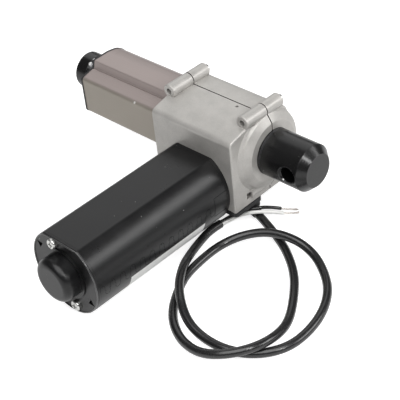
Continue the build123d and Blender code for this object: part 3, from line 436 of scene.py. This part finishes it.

# %% [markdown]
# A punch mark's dent is painted as shade: a small dark ball sunk in the can until only its cap
# shows.
# One lies in each tongue's head, two more lie above the seam, and a larger flattened one lies on
# the flat.

# %% The punch marks
bm = bmesh.new()
for angle, y in heads + [(77.2, -115.7), (77.5, -99.8)]:
    sunk = Matrix.Translation(on_can(angle, y, -0.38))
    bmesh.ops.create_icosphere(bm, subdivisions=2, radius=0.55 * MM, matrix=sunk)
on_flat = Matrix.Translation((-77.2 * MM, -41.8 * MM, SHAFT_Z + CAN_FLAT - 0.45 * MM))
flattened = on_flat @ Matrix.Diagonal((1, 1, 0.55, 1))
bmesh.ops.create_icosphere(bm, subdivisions=3, radius=0.9 * MM, matrix=flattened)
punches = object_from(bm, "punch_marks")
shade_smooth(punches)
# Painted shade: dark caps where the punch dents are shaded.
fit(punches, "housing", "black_motor_paint", finish="painted_joint_shade")

# %% [markdown]
# The rating plate is a paper strip glued under the can. What such a strip says belongs to a maker,
# so this one stays blank. It is an edge, spun part of a turn about the motor's axis, faced outward
# and given a little thickness.

# %% The blank strip
STRIP_START = 106
STRIP_SWEEP = math.radians(46)
bm = bmesh.new()
ends = [bm.verts.new(on_can(STRIP_START, y, 0.03)) for y in (-133, -62)]
edge = bm.edges.new(ends)
bmesh.ops.spin(bm, geom=ends + [edge], cent=worm_centre, axis=(0, 1, 0), dvec=(0, 0, 0),
               angle=STRIP_SWEEP, steps=24)
bmesh.ops.recalc_face_normals(bm, faces=bm.faces)
strip_middle = sum((face.calc_center_median() for face in bm.faces), Vector()) / len(bm.faces)
outward = strip_middle - worm_centre
if sum(face.normal.dot(outward) for face in bm.faces) < 0:
    bmesh.ops.reverse_faces(bm, faces=bm.faces)
bmesh.ops.solidify(bm, geom=bm.faces[:] + bm.edges[:] + bm.verts[:], thickness=0.06 * MM)
bmesh.ops.recalc_face_normals(bm, faces=bm.faces)
strip = object_from(bm, "blank_strip")
shade_smooth(strip)
fit(strip, "housing", "white_insulation", finish="blank_paper")

# %% [markdown]
# ## Effects that several finishes share
# Most surfaces here need the same few effects with other numbers: a grain, lines from drawing or
# turning, edge wear that on some finishes is also a painted highlight, dust, and small marks. Each
# is built once as a node group. All of them read Object coordinates, which are metres on this
# object, so a scale is a count per metre and a depth is a real depth, and nothing slides when the
# part moves or the camera goes round.

# %% Building a group
SOCKETS = {"color": "NodeSocketColor", "value": "NodeSocketFloat", "vector": "NodeSocketVector"}


def add_group(name, inputs, outputs):
    """An empty node group with named sockets, as (tree, input node, output node)."""
    tree = bpy.data.node_groups.new(name, "ShaderNodeTree")
    for side, sockets in (("INPUT", inputs), ("OUTPUT", outputs)):
        for label, kind in sockets:
            tree.interface.new_socket(name=label, in_out=side, socket_type=SOCKETS[kind])
    return tree, tree.nodes.new("NodeGroupInput"), tree.nodes.new("NodeGroupOutput")


def put(value, socket, links):
    """Link a node's output to a socket, or set the socket to a plain number."""
    if isinstance(value, bpy.types.NodeSocket):
        links.new(value, socket)
    else:
        socket.default_value = value


def math_node(tree, operation, first, second=0.0, clamp=False):
    """One Math node, returned as its output."""
    node = tree.nodes.new("ShaderNodeMath")
    node.operation = operation
    node.use_clamp = clamp
    put(first, node.inputs[0], tree.links)
    put(second, node.inputs[1], tree.links)
    return node.outputs[0]


def vector_node(tree, operation, first, second, output=0):
    """One Vector Math node on two vectors, returned as an output."""
    node = tree.nodes.new("ShaderNodeVectorMath")
    node.operation = operation
    tree.links.new(first, node.inputs[0])
    tree.links.new(second, node.inputs[1])
    return node.outputs[output]


def scaled(tree, vector, factor):
    """A vector or colour times a number."""
    node = tree.nodes.new("ShaderNodeVectorMath")
    node.operation = "SCALE"
    tree.links.new(vector, node.inputs[0])
    tree.links.new(factor, node.inputs["Scale"])
    return node.outputs[0]


def own_place(tree):
    """Object coordinates, in metres."""
    return tree.nodes.new("ShaderNodeTexCoord").outputs["Object"]


def own_axes(tree):
    """Object coordinates as the three outputs X, Y and Z."""
    axes = tree.nodes.new("ShaderNodeSeparateXYZ")
    tree.links.new(own_place(tree), axes.inputs[0])
    return axes.outputs


def noise(tree, place, scale, detail):
    """One Noise Texture, returned as its value from 0 to 1."""
    node = tree.nodes.new("ShaderNodeTexNoise")
    tree.links.new(place, node.inputs["Vector"])
    put(scale, node.inputs["Scale"], tree.links)
    node.inputs["Detail"].default_value = detail
    return node.outputs["Fac"]


print("sockets a group can have:", sorted(SOCKETS))

# %% [markdown]
# Grain and lines vary a finish in the same three ways: the colour is scaled a little up and down,
# the roughness swings with it, and the fine variation is also the height. So both groups have the
# same sockets but one, and share the steps from a variation to their three outputs.

# %% From a variation to colour, roughness and height
SURFACE_INPUTS = [("Color", "color"), ("Contrast", "value"), ("Roughness", "value"),
                  ("Roughness Swing", "value"), ("Depth", "value")]
SURFACE_OUTPUTS = [("Color", "color"), ("Roughness", "value"), ("Height", "value")]


def surface_outputs(tree, gi, go, variation, relief):
    """Link a variation about zero to a surface group's colour, roughness and height."""
    brightness = math_node(tree, "MULTIPLY", variation, gi.outputs["Contrast"])
    factor = math_node(tree, "ADD", brightness, 1.0)
    tree.links.new(scaled(tree, gi.outputs["Color"], factor), go.inputs["Color"])
    change = math_node(tree, "MULTIPLY", variation, gi.outputs["Roughness Swing"])
    roughness = math_node(tree, "ADD", gi.outputs["Roughness"], change, clamp=True)
    tree.links.new(roughness, go.inputs["Roughness"])
    height = math_node(tree, "MULTIPLY", relief, gi.outputs["Depth"])
    tree.links.new(height, go.inputs["Height"])
    print(tree.name, "has", len(tree.nodes), "nodes")


# %% [markdown]
# **Grain.** A cast, sprayed or moulded surface varies twice: in fine grains, and in broad clouds
# from how it was handled. Two noises at two scales give both, and the fine one is also the height.

# %% Grain
grain, gi, go = add_group("surface grain", SURFACE_INPUTS + [("Scale", "value")], SURFACE_OUTPUTS)
place = own_place(grain)
fine = math_node(grain, "SUBTRACT", noise(grain, place, gi.outputs["Scale"], 4), 0.5)
broad_scale = math_node(grain, "DIVIDE", gi.outputs["Scale"], 16)
broad = math_node(grain, "SUBTRACT", noise(grain, place, broad_scale, 2), 0.5)
surface_outputs(grain, gi, go, math_node(grain, "ADD", fine, broad), fine)

# %% [markdown]
# **Lines.** An extrusion is dragged through a die and a turned part is cut along a spiral, so both
# carry fine lines. A noise stretched hard along one direction gives them. Stretch holds how many
# lines per metre there are along X, Y and Z, and a small number leaves the lines long that way.

# %% Lines
lines, gi, go = add_group(
    "drawn lines", SURFACE_INPUTS + [("Stretch", "vector")], SURFACE_OUTPUTS)
stretched = vector_node(lines, "MULTIPLY", own_place(lines), gi.outputs["Stretch"])
streak = math_node(lines, "SUBTRACT", noise(lines, stretched, 1.0, 5), 0.5)
surface_outputs(lines, gi, go, streak, streak)

# %% [markdown]
# ** Edge wear and sheen.** Handling polishes a part where its corners stick out; on the casting and
# the tube the same pale edge is also a painted highlight. The Bevel node gives the normal that a
# rounded corner would have, and where that differs from the flat face's own normal, an edge is
# near. A noise breaks the mask up, because no edge wears evenly.

# %% Edge wear and sheen
edge_wear_and_sheen, gi, go = add_group(
    "edge wear and sheen", [("Radius", "value"), ("Amount", "value"), ("Patch Scale", "value")],
    [("Mask", "value")])
rounded = edge_wear_and_sheen.nodes.new("ShaderNodeBevel")
rounded.samples = 6
edge_wear_and_sheen.links.new(gi.outputs["Radius"], rounded.inputs["Radius"])
flat_normal = edge_wear_and_sheen.nodes.new("ShaderNodeNewGeometry").outputs["Normal"]
likeness = vector_node(edge_wear_and_sheen, "DOT_PRODUCT", rounded.outputs["Normal"], flat_normal, "Value")
nearness = math_node(edge_wear_and_sheen, "MULTIPLY", math_node(edge_wear_and_sheen, "SUBTRACT", 1.0, likeness), 9.0)
breakup = noise(edge_wear_and_sheen, own_place(edge_wear_and_sheen), gi.outputs["Patch Scale"], 3)
patchy = math_node(edge_wear_and_sheen, "MULTIPLY", nearness, math_node(edge_wear_and_sheen, "MULTIPLY", breakup, 2.0))
capped = math_node(edge_wear_and_sheen, "MINIMUM", patchy, 1.0)
mask = math_node(edge_wear_and_sheen, "MULTIPLY", capped, gi.outputs["Amount"], clamp=True)
edge_wear_and_sheen.links.new(mask, go.inputs["Mask"])
print("edge wear and sheen has", len(edge_wear_and_sheen.nodes), "nodes")

# %% [markdown]
# **Dust.** Black paint shows every fleck. A Voronoi pattern puts one point in each cell, and the
# cell's own random colour decides how large its fleck is, so most cells stay clean.

# %% Dust
dust, gi, go = add_group(
    "dust specks", [("Density", "value"), ("Size", "value")], [("Mask", "value")])
cells = dust.nodes.new("ShaderNodeTexVoronoi")
dust.links.new(own_place(dust), cells.inputs["Vector"])
dust.links.new(gi.outputs["Density"], cells.inputs["Scale"])
chance = dust.nodes.new("ShaderNodeSeparateColor")
dust.links.new(cells.outputs["Color"], chance.inputs[0])
rare = math_node(dust, "POWER", chance.outputs[0], 6.0)
fleck_size = math_node(dust, "MULTIPLY", rare, gi.outputs["Size"])
mask = math_node(dust, "LESS_THAN", cells.outputs["Distance"], fleck_size)
dust.links.new(mask, go.inputs["Mask"])
print("dust has", len(dust.nodes), "nodes")

# %% [markdown]
# ** Small marks and ribs.** Painted shade in a pit and a painted glint are both soft round spots at
# a known place. Stacked sheets, wound wire and a commutator's bars are even ridges along a
# direction, and one wave serves all.

# %% Small marks and ribs
spot_mark, gi, go = add_group(
    "small mark", [("Place", "vector"), ("Radius", "value")], [("Mask", "value")])
away = vector_node(spot_mark, "DISTANCE", own_place(spot_mark), gi.outputs["Place"], "Value")
share = math_node(spot_mark, "DIVIDE", away, gi.outputs["Radius"])
inside = math_node(spot_mark, "SUBTRACT", 1.0, share)
mask = math_node(spot_mark, "MULTIPLY", inside, 3.0, clamp=True)
spot_mark.links.new(mask, go.inputs["Mask"])

ribs, gi, go = add_group(
    "even ribs", [("Direction", "vector"), ("Depth", "value")],
    [("Mask", "value"), ("Height", "value")])
count = vector_node(ribs, "DOT_PRODUCT", own_place(ribs), gi.outputs["Direction"], "Value")
wave = math_node(ribs, "MULTIPLY", math_node(ribs, "PINGPONG", count, 0.5), 2.0)
ribs.links.new(wave, go.inputs["Mask"])
ribs.links.new(math_node(ribs, "MULTIPLY", wave, gi.outputs["Depth"]), go.inputs["Height"])
print("groups:", [tree.name for tree in bpy.data.node_groups])

# %% [markdown]
# ## The finishes
# A finish is one material: its Principled shader with the numbers that are the same all over, a
# grain or lines group that varies its colour and roughness, and one Bump node. Further colours are
# laid over the first one by a mask, and further heights are added to the first one.

# %% Making a finish
finishes = {}


def new_finish(name, metallic=0.0, specular=0.5):
    """A material with its Principled shader, as (tree, shader)."""
    material = bpy.data.materials.new(name)
    material.use_nodes = True
    shader = material.node_tree.nodes["Principled BSDF"]
    shader.inputs["Metallic"].default_value = metallic
    shader.inputs["Specular IOR Level"].default_value = specular
    finishes[name] = material
    return material.node_tree, shader


def place_group(tree, group, **values):
    """Put a shared effect in a material, with its own numbers."""
    node = tree.nodes.new("ShaderNodeGroup")
    node.node_tree = group
    for label, value in values.items():
        socket = node.inputs[label.replace("_", " ")]
        socket.default_value = (*value, 1) if socket.type == "RGBA" else value
    return node


def grained(name, color, contrast, pattern, roughness, swing, depth, metallic=0.0, specular=0.5):
    """A finish with grain or lines.

    The pattern is a count of grains per metre, or three counts of lines along X, Y and Z.
    """
    tree, shader = new_finish(name, metallic, specular)
    values = {"Color": color, "Contrast": contrast, "Roughness": roughness,
              "Roughness_Swing": swing, "Depth": depth}
    if isinstance(pattern, tuple):
        skin = place_group(tree, lines, Stretch=pattern, **values)
    else:
        skin = place_group(tree, grain, Scale=pattern, **values)
    bump = tree.nodes.new("ShaderNodeBump")
    bump.inputs["Distance"].default_value = 1.0
    tree.links.new(skin.outputs["Color"], shader.inputs["Base Color"])
    tree.links.new(skin.outputs["Roughness"], shader.inputs["Roughness"])
    tree.links.new(skin.outputs["Height"], bump.inputs["Height"])
    tree.links.new(bump.outputs["Normal"], shader.inputs["Normal"])
    return tree, shader


def layer(finish, color, mask, **values):
    """Lay a colour over a finish by a mask, or by the mask of a shared effect with its numbers."""
    tree, shader = finish
    if values:
        mask = place_group(tree, mask, **values).outputs["Mask"]
    base = shader.inputs["Base Color"]
    mix = tree.nodes.new("ShaderNodeMix")
    mix.data_type = "RGBA"
    tree.links.new(mask, mix.inputs[0])
    tree.links.new(base.links[0].from_socket, mix.inputs[6])
    mix.inputs[7].default_value = (*color, 1)
    tree.links.new(mix.outputs[2], base)


def add_height(finish, height):
    """Add one more height, in metres, to what the finish's Bump node already takes."""
    tree, shader = finish
    socket = shader.inputs["Normal"].links[0].from_node.inputs["Height"]
    total = math_node(tree, "ADD", socket.links[0].from_socket, height)
    tree.links.new(total, socket)


print("helpers ready")

# %% [markdown]
# ** The casting.** The gearbox is pressure-cast aluminium, tumbled but not machined outside: a warm
# pale grey with a soft sheen, cloudy in places. Its edges are brighter, partly from tumbling wear
# and partly as a painted highlight. It is part metallic, because an oxide skin dulls the metal. Two
# small pits from the casting lie in its roof, and they and the gap where the halves part, a narrow
# band about the plane Y = 0, are sunk a little and carry painted shade, a dark colour.

# %% The casting
PARTING_HALF_WIDTH = 0.42 * MM
HOLLOW_DEPTH = 0.4 * MM
PITS = [((-0.0546, -0.0036, 0.0285), 0.0013), ((-0.100, -0.012, 0.0285), 0.0007)]
casting = grained("cast_aluminium", (0.46, 0.446, 0.424), 0.38, 1500, 0.43, 0.20, 0.00005,
                  metallic=0.38)
# Pale edges: partly tumbling wear, partly a painted highlight.
layer(casting, (0.72, 0.70, 0.67), edge_wear_and_sheen, Radius=0.0009, Amount=0.55, Patch_Scale=260)
tree = casting[0]
from_middle = math_node(tree, "ABSOLUTE", own_axes(tree)["Y"])
hollow_and_shade = math_node(tree, "LESS_THAN", from_middle, PARTING_HALF_WIDTH)
for at, radius in PITS:
    pit = place_group(tree, spot_mark, Place=at, Radius=radius)
    hollow_and_shade = math_node(tree, "MAXIMUM", hollow_and_shade, pit.outputs["Mask"])
# Painted shade: the parting band and the pits get a dark colour, and the bump sinks them a little.
layer(casting, (0.12, 0.11, 0.10), hollow_and_shade)
add_height(casting, math_node(tree, "MULTIPLY", hollow_and_shade, -HOLLOW_DEPTH))
print("cast aluminium:", len(tree.nodes), "nodes")

# %% [markdown]
# ** The extrusion.** The outer tube is drawn aluminium with a brownish anodised skin. The lines of
# the die run along it, so they are stretched along X, and its edges are a little pale, partly from
# rubbing and partly as a painted highlight. Its front side, past the long corner, carries painted
# shade, a darker and yellower grey, and the corner carries one painted glint, a bright spot.

# %% The anodised tube
SHADE_START_Y = -22.6 * MM
SHADE_PER_METRE = 550.0
tube = grained("anodised_tube", (0.34, 0.288, 0.274), 0.16, (6, 1100, 1100), 0.36, 0.16, 0.000012,
               metallic=0.42)
tree = tube[0]
past_corner = math_node(tree, "SUBTRACT", SHADE_START_Y, own_axes(tree)["Y"])
front_painted_shade = math_node(tree, "MULTIPLY", past_corner, SHADE_PER_METRE, clamp=True)
# Painted shade on the front side, past the long corner.
layer(tube, (0.315, 0.284, 0.244), front_painted_shade)
# Pale edges: partly rubbing, partly a painted highlight.
layer(tube, (0.55, 0.50, 0.48), edge_wear_and_sheen, Radius=0.0005, Amount=0.4, Patch_Scale=300)
# A painted glint: one bright spot on the long corner.
layer(tube, (0.85, 0.82, 0.80), spot_mark, Place=(-0.1393, -0.0239, 0.0101), Radius=0.0012)
print("anodised tube:", len(tree.nodes), "nodes")

# %% [markdown]
# ** The connectors.** Both rod ends are turned steel with a black oxide skin, which is thin, so the
# turning lines show through it faintly, dust shows on it and the corners wear to bare metal. Three
# bright spots are painted glints: two at the front connector's back edge, one at the pin hole's
# edge.

# %% The connectors
PAINTED_GLINTS = [((-0.206, -0.0026, 0.0131), 0.0015), ((-0.206, -0.0068, 0.0115), 0.0019),
        ((-0.0037, -0.0168, -0.0048), 0.0010)]
steel = grained("black_steel", (0.004, 0.004, 0.0042), 0.3, (1900, 30, 30), 0.25, 0.10, 0.0000012)
layer(steel, (0.20, 0.20, 0.21), edge_wear_and_sheen, Radius=0.0004, Amount=0.6, Patch_Scale=420)
layer(steel, (0.30, 0.29, 0.28), dust, Density=330.0, Size=0.11)
# Painted glints: three bright spots at the connectors' edges.
for at, radius in PAINTED_GLINTS:
    layer(steel, (0.85, 0.85, 0.84), spot_mark, Place=at, Radius=radius)
print("black steel:", len(steel[0].nodes), "nodes")

# %% [markdown]
# ** The motor's paint.** The motor is sprayed semi-gloss black. Sprayed paint dries with a very
# slight ripple, which softens the long highlight, and dust settles on it. Where the can meets its
# end plates, two rings carry painted shade, a darker colour over a shallow groove; they are bands
# of place along Y.

# %% The motor's paint
RING_PLACES = (-40.25 * MM, -160.8 * MM)
RING_HALF_WIDTH = 0.25 * MM
RING_DEPTH = 0.2 * MM
paint = grained("black_motor_paint", (0.005, 0.005, 0.0054), 0.35, 900, 0.31, 0.10, 0.0000035,
                specular=0.40)
tree = paint[0]
along_motor = own_axes(tree)["Y"]
rings = []
for ring_y in RING_PLACES:
    away = math_node(tree, "ABSOLUTE", math_node(tree, "SUBTRACT", along_motor, ring_y))
    rings.append(math_node(tree, "LESS_THAN", away, RING_HALF_WIDTH))
ring_groove_and_shade = math_node(tree, "ADD", rings[0], rings[1], clamp=True)
# Painted shade in the two joint rings.
layer(paint, (0.002, 0.002, 0.002), ring_groove_and_shade)
layer(paint, (0.22, 0.22, 0.21), dust, Density=260.0, Size=0.12)
add_height(paint, math_node(tree, "MULTIPLY", ring_groove_and_shade, -RING_DEPTH))
print("motor paint:", len(tree.nodes), "nodes")

# %% [markdown]
# ** Joint lines, the strip and the rim.** A gap between sheets, and a punch mark's dent, is painted as
# its shadow: nearly black and matt. The strip is plain white paper with a faint grain. The rim's
# paint is rubbed glossy by handling, so that it catches a thin line of light.

# %% Joint lines, the strip and the rim
grained("painted_joint_shade", (0.004, 0.004, 0.004), 0.4, 1500, 0.7, 0.1, 0.00001, specular=0.2)
grained("blank_paper", (0.80, 0.80, 0.79), 0.08, 2200, 0.45, 0.12, 0.000006)
grained("rubbed_rim", (0.025, 0.025, 0.026), 0.3, 900, 0.17, 0.08, 0.000001, specular=1.0)
print("finishes so far:", len(finishes))

# %% [markdown]
# **Rubber and plastic.** The cable's jacket is extruded PVC with a satin gloss and fine scuffs,
# and the strain relief is a duller rubber. Moulded plastics have a fine spark grain.

# %% Rubber and plastic
jacket_skin = grained("cable_rubber", (0.010, 0.010, 0.0105), 0.3, 700, 0.25, 0.12, 0.000006,
                      specular=0.7)
layer(jacket_skin, (0.16, 0.16, 0.15), dust, Density=300.0, Size=0.09)
grained("white_insulation", (0.80, 0.80, 0.78), 0.06, 700, 0.40, 0.12, 0.000004)
grained("gland_rubber", (0.016, 0.016, 0.016), 0.3, 1400, 0.52, 0.14, 0.00002)
grained("rubber_seal", (0.022, 0.022, 0.022), 0.3, 1400, 0.58, 0.14, 0.00002)
grained("black_plastic", (0.018, 0.018, 0.019), 0.3, 2600, 0.48, 0.12, 0.00002)
grained("natural_plastic", (0.74, 0.72, 0.65), 0.08, 1200, 0.42, 0.10, 0.000008)
grained("circuit_board", (0.03, 0.13, 0.06), 0.25, 1800, 0.35, 0.14, 0.00001)
print("finishes so far:", len(finishes))

# %% [markdown]
# **Bright metals.** Ground and plated steel differ mostly in roughness and in the direction of
# their lines. The rod is hard chromed and ground, so its very fine lines go round it, which means
# many along X and few across. Screws are zinc plated, with worn and slightly cloudy heads.

# %% Bright metals
grained("chromed_steel", (0.78, 0.78, 0.80), 0.06, (2600, 30, 30), 0.10, 0.08, 0.000001,
        metallic=1.0)
zinc = grained("zinc_screws", (0.66, 0.66, 0.64), 0.25, 1800, 0.30, 0.22, 0.000008, metallic=1.0)
layer(zinc, (0.85, 0.85, 0.84), edge_wear_and_sheen, Radius=0.0003, Amount=0.5, Patch_Scale=500)
grained("bearing_steel", (0.52, 0.52, 0.53), 0.15, (900, 900, 60), 0.24, 0.14, 0.000002,
        metallic=1.0)
grained("bronze", (0.56, 0.36, 0.17), 0.25, 1100, 0.34, 0.18, 0.000006, metallic=1.0)
grained("tinned_copper", (0.80, 0.76, 0.72), 0.2, 1500, 0.30, 0.18, 0.000004, metallic=1.0)
grained("ferrite", (0.09, 0.09, 0.095), 0.3, 1300, 0.62, 0.16, 0.00002)
grained("carbon", (0.035, 0.035, 0.036), 0.3, 1700, 0.5, 0.16, 0.00001)
print("finishes so far:", len(finishes))

# %% [markdown]
# ** Ribbed metals.** The armature's stack is punched from 0.5 mm sheet, its windings are enamelled
# wire laid side by side, and its commutator is copper cut into bars. All are a metal with ribs,
# and the valleys between the ribs carry painted shade, a darker colour.

# %% Ribbed metals
def ribbed(name, color, valley_shade, roughness, direction, depth):
    """A metal with even ribs: painted shade in its valleys, and with the ribs' height."""
    finish = grained(name, color, 0.25, 1200, roughness, 0.16, 0.000004, metallic=1.0)
    tree = finish[0]
    wave = place_group(tree, ribs, Direction=direction, Depth=depth)
    # Painted shade in the valleys between the ribs.
    layer(finish, valley_shade, math_node(tree, "SUBTRACT", 1.0, wave.outputs["Mask"]))
    add_height(finish, wave.outputs["Height"])


ribbed("stack_steel", (0.30, 0.30, 0.31), (0.06, 0.06, 0.06), 0.42, (0, 2000, 0), 0.00010)
ribbed("enamelled_copper", (0.55, 0.20, 0.08), (0.12, 0.03, 0.01), 0.26, (900, 0, 900), 0.00030)
ribbed("copper", (0.74, 0.38, 0.24), (0.30, 0.14, 0.08), 0.28, (0, 1300, 0), 0.00003)
print("all finishes:", len(finishes))

# %% [markdown]
# The record says which slot each solid belongs to, so the finishes are handed out from it. The new
# pieces carry their finish from when they were made.

# %% Handing out the finishes
node_slot = {part["node"]: part["material_slot"] for part in frame["record"]["subparts"]}
for name, thing in nodes.items():
    thing.data.materials.clear()
    thing.data.materials.append(finishes[node_slot[name]])
for piece, finish in made:
    piece.data.materials.append(finishes[finish])
print("solids:", len(nodes), "new pieces:", len(made))

# %% [markdown]
# ## Floor and light
# A product like this is photographed on white paper in a soft-lit room. The floor is pale and
# matt, and it adds white for the rays that the camera sees directly or by a reflection, so the
# background is white while the object keeps its shadow and metal reflects a bright table.

# %% Floor
FLOOR_HALF = 6.0
FLOOR_GAP = 0.1 * MM
WHITE_SEEN = 0.77
WHITE_MIRRORED = 0.38
bm = bmesh.new()
bmesh.ops.create_grid(bm, x_segments=1, y_segments=1, size=FLOOR_HALF)
bmesh.ops.translate(bm, verts=bm.verts, vec=(0, 0, FLOOR_Z - FLOOR_GAP))
floor = object_from(bm, "floor")
tree, shader = new_finish("pale floor")
shader.inputs["Base Color"].default_value = (0.62, 0.62, 0.62, 1)
shader.inputs["Roughness"].default_value = 0.9
shader.inputs["Emission Color"].default_value = (1, 1, 1, 1)
rays = tree.nodes.new("ShaderNodeLightPath").outputs
mirrored = math_node(tree, "MAXIMUM", rays["Is Glossy Ray"], rays["Is Transmission Ray"])
seen_white = math_node(tree, "MULTIPLY", rays["Is Camera Ray"], WHITE_SEEN)
mirrored_white = math_node(tree, "MULTIPLY", mirrored, WHITE_MIRRORED)
white = math_node(tree, "MAXIMUM", seen_white, mirrored_white)
tree.links.new(white, shader.inputs["Emission Strength"])
floor.data.materials.append(finishes["pale floor"])
print("floor at", FLOOR_Z)

# %% [markdown]
# The room is dim and even. A large soft box hangs overhead, a little to the front, and lights the
# tops. Black gloss paint is seen by what it mirrors, so two lamps are placed by reflecting the
# camera's direction in the motor: its flat top mirrors a pale wall at the left rear, and its round
# side, about 50 degrees from the top, mirrors a soft box at the right rear, 20 degrees up, as a
# long highlight. A small bright window at the right draws a glint on the rear connector's chamfer
# and a thin line along the motor's rim.

# %% Room and lamps
MIDDLE = Vector((-0.07, -0.05, 0))
ROOM_LIGHT = 0.14
world = bpy.data.worlds.new("studio")
scene.world = world
world.use_nodes = True
background = world.node_tree.nodes["Background"]
background.inputs["Color"].default_value = (1, 1, 1, 1)
background.inputs["Strength"].default_value = ROOM_LIGHT


def soft_box(name, offset, width, height, watts):
    """A rectangular lamp at an offset from the part's middle that looks at that middle."""
    data = bpy.data.lights.new(name, "AREA")
    data.shape = "RECTANGLE"
    data.size = width
    data.size_y = height
    data.energy = watts
    lamp = bpy.data.objects.new(name, data)
    scene.collection.objects.link(lamp)
    lamp.location = MIDDLE + offset
    lamp.rotation_euler = (-offset).to_track_quat("-Z", "Y").to_euler()
    print(name, watts, "W")


soft_box("overhead box", Vector((0.38, -0.58, 1.42)), 1.7, 1.7, 28)
soft_box("left rear wall", Vector((-0.585, 0.541, 0.603)) * 2.0, 1.7, 1.5, 7.2)
soft_box("right rear box", Vector((0.74, 0.54, 0.42)) * 1.5, 0.95, 0.5, 8)
soft_box("small window", Vector((0.78, -0.10, 0.62)) * 1.5, 0.14, 0.45, 5)
scene.view_settings.view_transform = "Standard"
